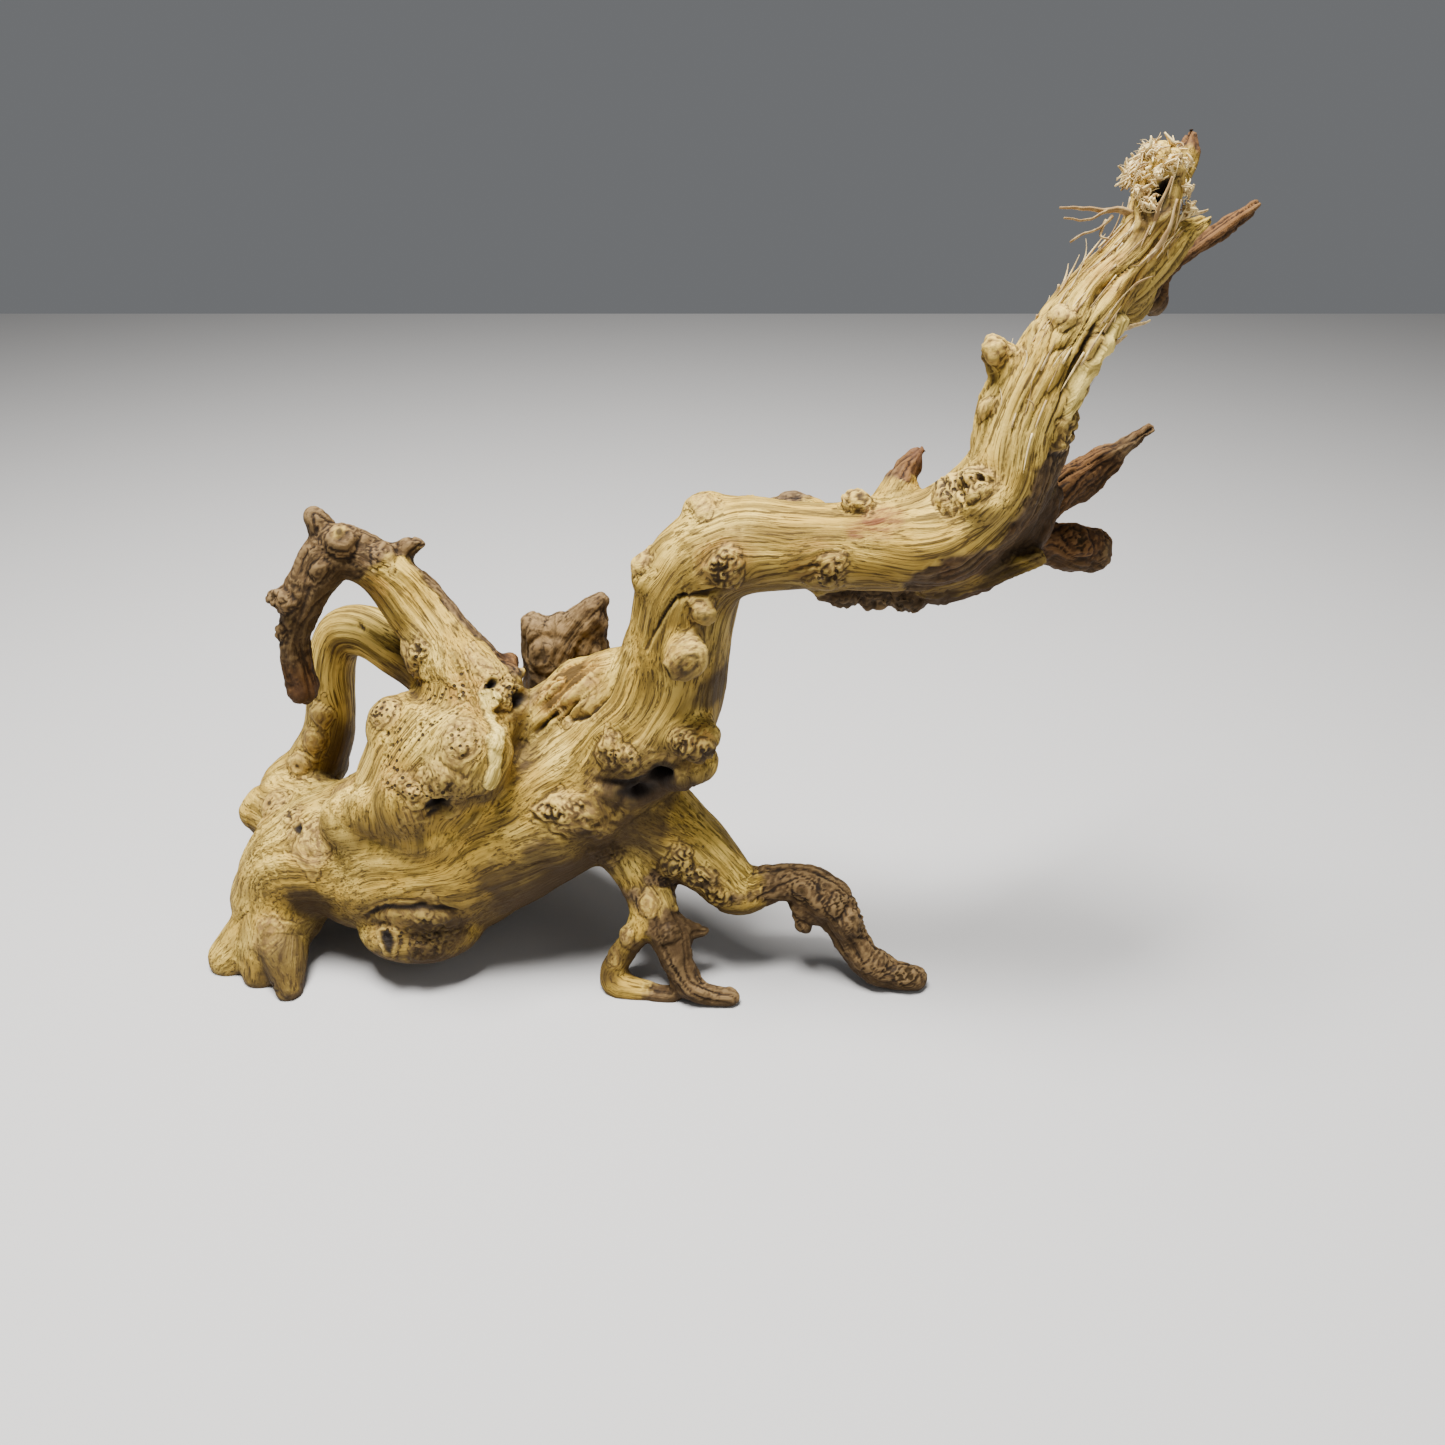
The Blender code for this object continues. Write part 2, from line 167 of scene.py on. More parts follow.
def tubeSkin(stations, around=28):
    # a round profile carried along a route, with round ends: place + radius
    # times (side * cos turn + across * sin turn)
    path = curveThrough(stations, 2.0)
    bend = np.linspace(0, math.pi / 2, 6)[1:]
    ahead, _, _ = sideFrames(path)
    front = np.repeat(path[:1], 5, axis=0)
    front[:, :3] -= ahead[0] * (path[0, 3] * np.sin(bend))[:, None]
    front[:, 3] = path[0, 3] * np.maximum(np.cos(bend), 0.02)
    back = np.repeat(path[-1:], 5, axis=0)
    back[:, :3] += ahead[-1] * (path[-1, 3] * np.sin(bend))[:, None]
    back[:, 3] = path[-1, 3] * np.maximum(np.cos(bend), 0.02)
    path = np.vstack((front[::-1], path, back))
    ahead, sides, across = sideFrames(path)
    turn = np.linspace(0, 2 * math.pi, around, endpoint=False)
    ring = sides[:, None] * np.cos(turn)[None, :, None]
    ring = ring + across[:, None] * np.sin(turn)[None, :, None]
    points = (path[:, None, :3] + ring * path[:, 3][:, None, None]).reshape(-1, 3)
    rows = len(path)
    k = np.arange(rows - 1)[:, None] * around
    j = np.arange(around)[None, :]
    n = (j + 1) % around
    quads = np.stack((k + j, k + n, k + around + n, k + around + j), axis=-1).reshape(-1, 4)
    lastRing = range((rows - 1) * around, rows * around)
    return points, [tuple(q) for q in quads] + [tuple(range(around))[::-1], tuple(lastRing)]


def ballSkin(centre, halfSizes, rings=12, around=20):
    # a round lump as a grid of rings, closed by two flat rims
    tilt = np.linspace(0.08, math.pi - 0.08, rings)[:, None]
    turn = np.linspace(0, 2 * math.pi, around, endpoint=False)[None, :]
    grid = np.stack((np.sin(tilt) * np.cos(turn), np.sin(tilt) * np.sin(turn),
                     np.cos(tilt) + 0 * turn), axis=-1)
    points = (grid * halfSizes + centre).reshape(-1, 3)
    k = np.arange(rings - 1)[:, None] * around
    j = np.arange(around)[None, :]
    n = (j + 1) % around
    quads = np.stack((k + j, k + around + j, k + around + n, k + n), axis=-1).reshape(-1, 4)
    lastRing = range((rings - 1) * around, rings * around)
    return points, [tuple(q) for q in quads] + [tuple(range(around)), tuple(lastRing)[::-1]]


# Routes of the limbs: each station is x, y, z, radius and how much bark
# covers the wood there.

trunk = {
    "stem": [(-172, -12, 24, 21, 0), (-156, -10, 41, 27, 0), (-130, -5, 43, 36, 0),
             (-98, -6, 47, 42, 0), (-60, -8, 64, 36, 0), (-24, -9, 88, 31, 0),
             (1, -12, 121, 25, 0), (11, -15, 152, 20.5, 0), (17, -19, 179, 20, 0),
             (31, -23, 193, 19, 0), (56, -27, 195, 15.5, 0), (80, -31, 197, 16.5, 0),
             (108, -33, 202, 17.6, 0), (125, -34, 222, 16, 0), (132, -33, 251, 14, 0),
             (141, -31, 271, 12, 0), (149, -29, 284, 10, 0), (158, -27, 295, 8.2, 0),
             (162, -25, 306, 8.4, 0.1), (162, -24, 317, 7.4, 0.1)],
    "heel": [(-163, 38, 62, 14, 0.1), (-180, 39, 46, 15, 0.2), (-184, 44, 26, 14, 0.3),
             (-186, 49, 6, 12, 0.4)],
    "leftEnd": [(-150, 6, 44, 26, 0), (-174, 18, 46, 18, 0), (-180, 34, 44, 15, 0.1)],
    "toeOuter": [(-168, -15, 22, 18, 0), (-180, -24, 11, 14, 0), (-191, -31, 3, 10, 0.1)],
    "toeFront": [(-170, -26, 20, 14, 0), (-162, -42, 11, 9.5, 0.1), (-159, -50, 3, 6.5, 0.5)],
    "toeWeb": [(-166, -22, 24, 18, 0), (-172, -33, 12, 13, 0), (-174, -39, 3, 9.5, 0.1)],
    "flank": [(-110, -4, 60, 26, 0), (-104, -8, 84, 20, 0), (-98, -7, 106, 17, 0)],
    "hump": [(-48, 0, 106, 15, 0.1), (-30, -3, 122, 13, 0), (-14, -8, 134, 11, 0)],
    "back": [(-96, 12, 50, 34, 0), (-86, 30, 24, 20, 0.2), (-82, 36, 5, 13, 0.4)],
    "saddle": [(-50, 6, 74, 30, 0), (-46, 24, 86, 19, 0.3), (-49, 30, 105, 14, 0.7)],
}
archBranch = {
    "arch": [(-98, -8, 66, 34, 0), (-86, -12, 100, 31, 0), (-76, -5, 120, 23, 0),
             (-88, 5, 142, 14.5, 0.1), (-99, 10, 157, 12.3, 0.2), (-111, 10, 173, 10.8, 0.3),
             (-124, 8, 180, 11.2, 0.5), (-134, 5, 171, 9.5, 0.8), (-141, 3, 159, 8.4, 0.9),
             (-146, 2, 147, 6.8, 1), (-148, 2, 134, 6.8, 1), (-147, 2, 121, 6.6, 0.8)],
    "archPegs": [(-126, 8, 184, 6, 1), (-130, 7, 194, 5, 1)],
    "archPegRight": [(-106, 15, 172, 5.5, 0.8), (-99, 18, 178, 5, 1)],
    "archPegLeft": [(-144, 3, 160, 4, 1), (-151, 1, 163, 3.8, 1)],
}
rearRoot = {
    "rear": [(-84, 12, 112, 18, 0), (-98, 19, 122, 13, 0), (-112, 25, 128, 12, 0),
             (-125, 30, 134, 11.5, 0), (-137, 32, 133, 10.9, 0), (-144, 32, 122, 10.6, 0.1),
             (-148, 32, 104, 10.8, 0), (-153, 34, 83, 12, 0), (-164, 38, 62, 14, 0.1)],
}
backStump = {
    "stump": [(-48, 28, 96, 15, 0.8), (-49, 30, 112, 12.5, 1), (-51, 30, 132, 9, 1)],
    "stumpLobe": [(-46, 30, 118, 10, 1), (-36, 30, 134, 8, 1), (-27, 30, 146, 6, 1)],
}
rightRoot = {
    "hub": [(-20, -10, 80, 26, 0), (0, -15, 68, 20, 0), (18, -22, 55, 16.5, 0.1),
            (32, -28, 42, 12.8, 0.32), (39, -30, 41, 10.5, 0.48), (46, -30, 43, 9, 0.75),
            (60, -31, 45, 8.5, 1), (73, -34, 39, 10.3, 1), (80, -37, 27, 8, 1),
            (88, -42, 14, 8.2, 1), (99, -45, 7, 7, 1), (112, -46, 4.5, 5.6, 1)],
}
frontRoots = {
    "legOuter": [(-12, -18, 54, 15, 0.1), (-7, -24, 44, 12, 0.3), (0, -36, 32, 10.3, 0.5),
                 (6, -42, 25, 8.5, 0.8), (9, -48, 16, 7.4, 0.8), (14, -53, 8, 6.6, 0.8),
                 (22, -55, 4, 5, 1), (32, -56, 3, 4, 1)],
    "legInner": [(-3, -34, 33, 8, 0.4), (-8, -40, 27, 6.6, 0.4), (-15, -42, 16, 5.6, 0.3),
                 (-20, -44, 6, 6, 0.2), (-17, -48, 2, 6, 0.2), (-2, -51, 1, 4.6, 0.6),
                 (6, -53, 1, 4, 0.8)],
    "legPeg": [(12, -40, 27, 4.5, 0.8), (20, -38, 25, 3.4, 1)],
}
elbowStub = {
    "stub": [(124, -24, 197, 12, 0.3), (135, -15, 190, 8.5, 1), (149, -8, 189, 7.6, 1),
             (160, -3, 186, 9.8, 1), (170, 1, 183, 9, 1)],
    "splinter": [(126, -22, 204, 10, 0.3), (141, -14, 205, 9.5, 1), (152, -9, 212, 8, 1),
                 (163, -4, 218, 5.8, 1), (173, -2, 223, 4.6, 1), (185, 2, 230, 3, 1)],
    "splinterLow": [(150, -8, 204, 6, 1), (164, -5, 210, 3.4, 1), (174, -5, 217, 2, 1)],
}
risingLimb = {
    "web": [(104, -26, 184, 8, 0.9), (124, -23, 191, 10, 1), (140, -18, 202, 9, 1)],
    "elbowMass": [(130, -26, 197, 11, 0.9), (138, -27, 207, 9, 1), (142, -28, 214, 6, 1)],
    "spar": [(66, -26, 179, 6, 0.6), (84, -25, 176, 5, 0.6), (112, -35, 184, 6, 0.2),
             (138, -38, 195, 4.6, 0.1)],
    "topStub": [(46, -18, 204, 5.5, 0.7), (55, -16, 208, 4.6, 1), (64, -17, 206, 3.4, 1)],
}
limbHorn = {
    "horn": [(84, -28, 203, 10, 0), (89, -24, 214, 7, 0.3), (93, -20, 220, 5.3, 0.9),
             (98, -18, 228, 2.8, 1)],
}
upperArm = {
    "sideRidge": [(117, -34, 232, 6, 0), (115, -33, 246, 4, 0), (119, -33, 256, 4, 0),
                  (116, -33, 265, 5, 0.1)],
    "fan": [(158, -27, 283, 7, 0), (166, -25, 291, 6.5, 0), (174, -22, 298, 4.6, 0),
            (181, -20, 302, 2.4, 0.1)],
    "peg": [(163, -22, 308, 6, 0), (169, -19, 314, 5, 0.6), (172, -17, 321, 4, 0.9),
            (172, -16, 326, 2.6, 1)],
}
tipTwig = {
    "rod": [(160, -22, 276, 7, 0), (170, -15, 284, 4.6, 0.6), (178, -10, 288, 4, 0.9),
            (190, -6, 296, 3.6, 0.9), (204, 0, 304, 3, 0.9)],
}
lumps = [    # swellings on the wood: centre, half sizes
    ((-183, 17, 50), (12, 13, 12)), ((-102, -34, 23), (27, 17, 13)),
    ((-74, -30, 108), (20, 16, 22)), ((-98, -36, 90), (15, 12, 18)),
    ((-40, -36, 66), (13, 7, 8)), ((15, -39, 157), (8, 5, 8)),
    ((21, -35, 175), (5.5, 6, 5.5)), ((16, -34, 120), (12, 9, 8)),
    ((12, -28, 104), (14, 12, 10)), ((116, -48, 218), (8, 6, 7)),
    ((170, -14, 277), (6, 6, 5)), ((-62, 9, 129), (6, 6, 7)),
    ((75, -32, 212), (6, 6, 5)), ((-149, 0, 147), (4, 4, 4)),
    ((0, -24, 181), (6, 8, 8)), ((22, -20, 208), (10, 9, 5)),
    ((80, -44, 32), (5, 5, 7)), ((62, -36, 36), (5, 5, 9)), ((63, -38, 28), (4, 4, 5)),
    ((-96, 15, 180), (7, 4, 4)), ((-58, 0, 130), (6, 5, 5)), ((-41, 30, 131), (12, 8, 9)),
    ((-54, 30, 137), (5.5, 6.5, 6)), ((-27, 30, 138), (7, 7, 9)), ((-24, 30, 149), (4, 5, 5)),
    ((-31, 27, 137), (6, 6, 8)), ((-105, -14, 111), (12, 13, 15)),
    ((-104, -33, 83), (22, 10, 14)), ((-80, -33, 83), (20, 9, 14)),
    ((-125, -25, 72), (15, 13, 15)), ((-92, -34, 73), (21, 11.5, 11)),
    ((-40, 30, 137), (9, 7, 8)), ((-28, 29, 129), (8, 8, 10)),
]
routes = {}
for shape in (trunk, archBranch, rearRoot, backStump, rightRoot, frontRoots,
              elbowStub, risingLimb, limbHorn, upperArm, tipTwig):
    routes.update(shape)


# One skin over all limbs

def meshOf(name, points, faces):
    # a mesh from points in millimetres
    made = bpy.data.meshes.new(name)
    made.from_pydata((points * mm).tolist(), [], faces)
    return made


def applied(item):
    # the mesh with the object's modifiers worked in
    bpy.context.view_layer.update()
    graph = bpy.context.evaluated_depsgraph_get()
    made = bpy.data.meshes.new_from_object(item.evaluated_get(graph))
    item.modifiers.clear()
    return made


def pointsOf(mesh):
    # the vertices in millimetres, one row each
    flat = np.empty(len(mesh.vertices) * 3)
    mesh.vertices.foreach_get("co", flat)
    return flat.reshape(-1, 3) / mm


def normalsOf(mesh):
    flat = np.empty(len(mesh.vertices) * 3)
    mesh.vertex_normals.foreach_get("vector", flat)
    return flat.reshape(-1, 3)


def edgesOf(mesh):
    flat = np.empty(len(mesh.edges) * 2, dtype=np.int64)
    mesh.edges.foreach_get("vertices", flat)
    return flat.reshape(-1, 2)


def neighbourMean(values, edges, count):
    # the mean of each vertex's neighbours
    total = np.zeros_like(values)
    for column in range(values.shape[1]):
        total[:, column] = np.bincount(edges[:, 0], values[edges[:, 1], column], count)
        total[:, column] += np.bincount(edges[:, 1], values[edges[:, 0], column], count)
    degree = np.bincount(edges.ravel(), minlength=count)
    return total / degree[:, None]


def relax(points, edges, rounds):
    # shrink and swell in turn: creases go, thickness stays
    for step in range(rounds * 2):
        weight = 0.6 if step % 2 == 0 else -0.57
        points = points + weight * (neighbourMean(points, edges, len(points)) - points)
    return points


def occlusionShadeOf(mesh, points, edges):
    # the share of rays from each point that other wood stops close by, used as painted shade
    tree = BVHTree.FromPolygons([tuple(point) for point in points],
                                [tuple(face.vertices) for face in mesh.polygons])
    normals = [Vector(normal) for normal in normalsOf(mesh)]
    number = np.arange(skin["occlusionShadeRays"])
    turn = number * math.pi * (3 - math.sqrt(5))    # the golden angle spreads them evenly
    level = 1 - (number + 0.5) * 2 / skin["occlusionShadeRays"]
    rays = [Vector((math.cos(a) * math.sqrt(1 - h * h), math.sin(a) * math.sqrt(1 - h * h), h))
            for a, h in zip(turn, level)]
    shares = np.zeros((len(points), 1))
    for k, normal in enumerate(normals):
        start = Vector(points[k]) + normal * 0.6
        outward = [ray for ray in rays if ray.dot(normal) > 0.12]
        stopped = sum(tree.ray_cast(start, ray, skin["occlusionShadeReach"])[0] is not None
                      for ray in outward)
        shares[k] = stopped / len(outward)
    for step in range(4):
        shares = neighbourMean(shares, edges, len(points))
    return shares[:, 0]


def growSkin():
    # tubes and lumps fused on a fine grid, smoothed, and halved once more
    allPoints = []
    allFaces = []
    start = 0
    shapes = [tubeSkin(stations) for stations in routes.values()]
    shapes += [ballSkin(np.array(centre), np.array(sizes)) for centre, sizes in lumps]
    for points, faces in shapes:
        allPoints.append(points)
        allFaces += [tuple(int(v) + start for v in face) for face in faces]
        start += len(points)
    wood = bpy.data.objects.new("wood", meshOf("wood", np.vstack(allPoints), allFaces))
    bpy.context.scene.collection.objects.link(wood)
    fused = wood.modifiers.new("fuse", "REMESH")
    fused.mode = "VOXEL"
    fused.voxel_size = skin["fuseGrid"] * mm
    wood.data = applied(wood)
    points = relax(pointsOf(wood.data), edgesOf(wood.data), skin["blendRounds"])
    wood.data.vertices.foreach_set("co", (points * mm).ravel())
    wood.data.update()
    # painted shade: how much nearby wood shuts each point in
    occlusionShade = occlusionShadeOf(wood.data, points, edgesOf(wood.data))
    made = wood.data.attributes.new("occlusionShade", "FLOAT", "POINT")
    made.data.foreach_set("value", occlusionShade.astype(np.float32))
    if skin["halvings"]:
        finer = wood.modifiers.new("finer", "SUBSURF")
        finer.levels = finer.render_levels = skin["halvings"]
        wood.data = applied(wood)
    return wood


wood = growSkin()
print("skin grown", len(wood.data.vertices), "points")


# How the grain runs

def followLimbs(points):
    # for each point the nearest and the second nearest limb: its place along
    # the limb and off the axis, the limb's radius and bark, and how close it is
    count = len(points)
    found = []
    for number, stations in enumerate(routes.values()):
        path = curveThrough(stations, 3.0)
        ahead, sides, across = sideFrames(path)
        steps = np.linalg.norm(np.diff(path[:, :3], axis=0), axis=1)
        gone = np.concatenate(([0], np.cumsum(steps)))
        best = np.full(count, 1e9)
        row = np.zeros(count, dtype=np.int64)
        low = path[:, :3].min(axis=0) - 60
        high = path[:, :3].max(axis=0) + 60
        near = np.flatnonzero(((points > low) & (points < high)).all(axis=1))
        for k, station in enumerate(path):
            depth = np.linalg.norm(points[near] - station[:3], axis=1) - station[3]
            better = depth < best[near]
            best[near[better]] = depth[better]
            row[near[better]] = k
        away = points - path[row, :3]
        grain = np.stack((gone[row] + (away * ahead[row]).sum(1) + 137.0 * number,
                          (away * sides[row]).sum(1), (away * across[row]).sum(1)), axis=1)
        found.append((best, grain, path[row, 3], path[row, 4]))
    depth = np.stack([entry[0] for entry in found])
    order = np.argsort(depth, axis=0)[:2]
    pick = np.arange(count)
    field = {"limb": order[0]}
    for name, rank in (("A", order[0]), ("B", order[1])):
        field["depth" + name] = depth[rank, pick]
        field["grain" + name] = np.stack([entry[1] for entry in found])[rank, pick]
        field["radius" + name] = np.stack([entry[2] for entry in found])[rank, pick]
        field["bark" + name] = np.stack([entry[3] for entry in found])[rank, pick]
    lead = field["depthB"] - field["depthA"]
    field["share"] = 0.5 + 0.5 * ramp(lead, 0, 7)
    sway = np.stack([latticeNoise(points / 24, 41 + k) for k in range(2)], axis=1)
    for name in ("A", "B"):    # the fibres sway, most on the thick trunk
        field["grain" + name][:, 1:] += sway * (field["radius" + name] * 0.13)[:, None]
    return field


def blended(field, name):
    # a value of the nearest limb, mixed with the second nearest's near a fork
    return field[name + "A"] * field["share"] + field[name + "B"] * (1 - field["share"])


# Knots: place, radius, rise, pit depth and kind. An eye is a smooth dome with
# rings, a rose a rough crater with a rim, a crumb a low crumbly scab, a nub a
# round boss with a dimple, and a hole a dark hollow.

knots = [
    (-176, 0, 67, 6.5, 3.2, 0.8, "eye"), (-166, -41, 25, 6, 1.2, 0.2, "eye"),
    (-156, -16, 68, 4, 1.4, 1.0, "rose"), (-150, -22, 66, 3, 0.4, 1.6, "hole"),
    (-135, -7, 78, 6, 1.6, 0, "eye"), (-142, -24, 62, 8, 1.6, 0, "eye"),
    (-104, -48, 38, 9, 1.6, 0.4, "eye"), (-90, -46, 36, 7, 2.0, 0.6, "rose"),
    (-112, -46, 28, 5, 1.4, 2.2, "hole"), (-97, -48, 26, 6, 1.2, 0.4, "rose"),
    (-84, -40, 95, 6.5, 0, 7.5, "hole"), (-94, -40, 99, 3.6, 1.4, 0.4, "crumb"),
    (-108, -20, 126, 5, 1.8, 0.6, "eye"),
    (-72, -41, 122, 7, 1.2, 0.2, "crumb"),
    (-84, -43, 104, 8.5, 2.6, 0.2, "crumb"),
    (-64, -15, 133, 3.4, 0.6, 4.0, "hole"), (-70, -8, 133, 5, 1.4, 0.4, "eye"),
    (-54, -12, 124, 6.4, 0, 5.5, "hole"), (-59, -16, 128, 4.4, 2.4, 0.6, "rose"),
    (-29, -17, 128, 9, 1.4, 0, "eye"), (-37, -18, 119, 3.0, 1.6, 0.4, "crumb"),
    (-99, -3, 137, 6, 2.4, 0.8, "eye"), (-94, -8, 143, 4, 1.4, 0.6, "rose"),
    (-40, -42, 89, 5.5, 2.4, 1.0, "rose"), (-30, -42, 85, 9, 2.8, 0.6, "crumb"),
    (-9, -38, 112, 4, 2.2, 0.6, "eye"), (-18, -37, 114, 5, 2.4, 0.8, "crumb"),
    (4, -36, 103, 9.5, 0, 12.0, "hole"), (-6, -36, 96, 8.5, 0, 6.0, "hole"),
    (20, -40, 117, 6, 2.6, 0.8, "rose"), (12, -42, 122, 4.5, 1.6, 0.6, "rose"),
    (15, -45, 158, 7, 2.2, 0.8, "nub"), (8, -42, 153, 2.6, 0.3, 3.6, "hole"),
    (20, -41, 175, 4.6, 3.0, 0.6, "nub"),
    (29, -42, 193, 6.2, 2.6, 0.8, "rose"), (66, -43, 194, 4.4, 1.8, 0.6, "rose"),
    (64, -42, 187, 4.6, 2.2, 0.6, "eye"), (20, -25, 212, 5, 2.0, 0, "eye"),
    (-3, -24, 190, 4, 2.4, 0.4, "eye"), (75, -34, 216, 4.6, 2.4, 0.6, "rose"),
    (109, -43, 227, 4.5, 2.6, 0.4, "rose"), (103, -41, 222, 4.8, 3.0, 1.6, "rose"),
    (113, -46, 223, 4.6, 3.0, 1.4, "rose"), (84, -30, 174, 5, 3.0, 1.6, "rose"),
    (74, -30, 174, 4, 2.4, 1.2, "rose"), (95, -33, 175, 5, 2.8, 1.0, "rose"),
    (104, -37, 181, 4, 1.6, 0, "eye"), (141, -43, 241, 4.8, 2.6, 0.8, "rose"),
    (114, -38, 247, 2.6, 1.8, 0.2, "eye"), (115, -36, 266, 4.6, 1.6, 0.6, "crumb"),
    (133, -40, 277, 3.2, 2.0, 0.4, "eye"), (147, -41, 266, 5, 1.4, 0, "eye"),
    (160, -34, 310, 5.5, 0, 6.0, "hole"), (176, -2, 184, 7, 0.6, 0.8, "eye"),
    (161, -9, 190, 5, 1.6, 0.6, "rose"), (11, -36, 61, 5, 2.6, 0.8, "rose"),
    (4, -38, 54, 4.5, 2.2, 1.6, "rose"), (17, -38, 52, 5, 2.0, 0.8, "rose"),
    (25, -36, 45, 4.5, 1.8, 1.8, "rose"), (-20, -34, 60, 5, 2.2, 0.6, "rose"),
    (-4, -40, 41, 4, 1.8, 0.4, "eye"), (6, -44, 29, 4, 1.6, 1.0, "rose"),
    (61, -40, 48, 5, 1.8, 0.6, "eye"), (82, -42, 34, 5.5, 2.2, 1.0, "rose"),
    (76, -42, 42, 4, 1.6, 0.4, "rose"), (94, -47, 14, 4.5, 1.6, 0.4, "eye"),
    (108, -50, 9, 5, 1.4, 1.0, "rose"), (-120, 3, 187, 5.5, 3.0, 0.8, "eye"),
    (-105, 6, 181, 4, 1.8, 0.4, "eye"), (-128, -2, 176, 3.4, 1.6, 0, "eye"),
    (-146, -3, 164, 4.5, 2.6, 0.6, "rose"), (-151, -1, 150, 4, 1.8, 0.4, "rose"),
    (-151, 22, 97, 5, 2.0, 0, "eye"), (-157, 24, 84, 5, 1.6, 0, "eye"),
    (-167, 25, 69, 6, 2.2, 0.8, "eye"), (-19, -46, 16, 3.6, 1.0, 0.4, "eye"),
    (-13, -44, 27, 3.4, 1.4, 0.4, "eye"), (-40, 24, 108, 7, 2.4, 0.8, "rose"),
    (-50, 22, 127, 6.5, 1.4, 0.6, "eye"), (-30, 22, 128, 4, 1.2, 0.4, "eye"),
    (-100, 40, 60, 10, 3.0, 2.0, "rose"), (-60, 30, 88, 8, 2.4, 1.2, "rose"),
    (-136, 30, 52, 9, 2.4, 1.6, "rose"), (0, 14, 118, 9, 2.6, 1.8, "rose"),
    (8, 6, 160, 7, 2.0, 1.0, "eye"), (38, -4, 200, 7, 2.2, 1.0, "rose"),
    (92, -14, 196, 7, 2.2, 1.4, "rose"), (134, -18, 240, 6, 2.0, 1.0, "eye"),
    (145, -18, 276, 6, 1.8, 0.8, "eye"), (-70, 18, 118, 7, 2.0, 1.0, "rose"),
    (-20, 24, 92, 8, 1.8, 1.8, "hole"), (-128, 36, 34, 7, 1.6, 1.0, "eye"),
    (64, -14, 198, 5, 1.4, 0.8, "eye"), (122, -18, 216, 6, 1.6, 0.4, "eye"),
]
burrs = [    # centre, radius, pit depth: skin with clusters of small pits
    ((-80, -34, 122), 24, 2.0), ((-98, -30, 112), 18, 1.8), ((-100, -44, 28), 18, 1.3),
    ((-166, -6, 68), 16, 1.4), ((-58, -16, 124), 16, 2.0), ((-30, 4, 128), 17, 1.6),
    ((-106, 38, 62), 16, 1.2), ((-168, 30, 62), 14, 1.0), ((90, -30, 174), 20, 1.6),
    ((20, -36, 116), 9, 1.4), ((14, -36, 56), 13, 1.6), ((-96, -8, 142), 10, 1.2),
    ((30, -42, 193), 8, 0.8), ((108, -44, 224), 11, 1.0),
]
dots = [    # bands of small dark pits in the skin: route and half width
    ([(-89, -19, 130), (-80, -21, 134), (-75, -23, 135), (-74, -20, 139)], 5.4),
    ([(-92, -38, 120), (-87, -35, 126), (-81, -34, 129), (-76, -33, 130)], 5.2),
    ([(-99, -30, 120), (-101, -40, 113), (-101, -41, 107), (-97, -43, 103)], 5.6),
    ([(-107, -20, 126), (-112, -14, 120)], 6), ([(-72, -41, 125), (-70, -41, 118)], 5.5),
    ([(-88, -43, 100), (-80, -44, 100)], 6.5), ([(-98, -9, 139), (-95, -10, 144)], 5),
    ([(-63, -17, 133), (-60, -14, 130), (-57, -12, 126)], 6),
    ([(104, -44, 222), (112, -46, 224)], 5.5), ([(74, -32, 174), (96, -34, 176)], 6),
    ([(-112, -46, 32), (-98, -49, 28), (-88, -48, 34)], 6),
    ([(-176, -4, 68), (-168, -8, 70)], 5),
    ([(6, -38, 52), (14, -38, 56), (22, -37, 50)], 5), ([(-16, -38, 113), (-9, -39, 112)], 4),
    ([(20, -41, 118), (12, -42, 122)], 4), ([(-42, -43, 88), (-34, -44, 86)], 4),
    ([(-104, 40, 60), (-92, 42, 58)], 5), ([(0, 14, 118), (6, 12, 124)], 4),
    ([(38, -4, 202), (44, -4, 200)], 3.5), ([(-22, -34, 62), (-16, -36, 58)], 4),
    ([(26, -42, 192), (32, -42, 195)], 4), ([(62, -44, 188), (68, -43, 192)], 3.5),
]
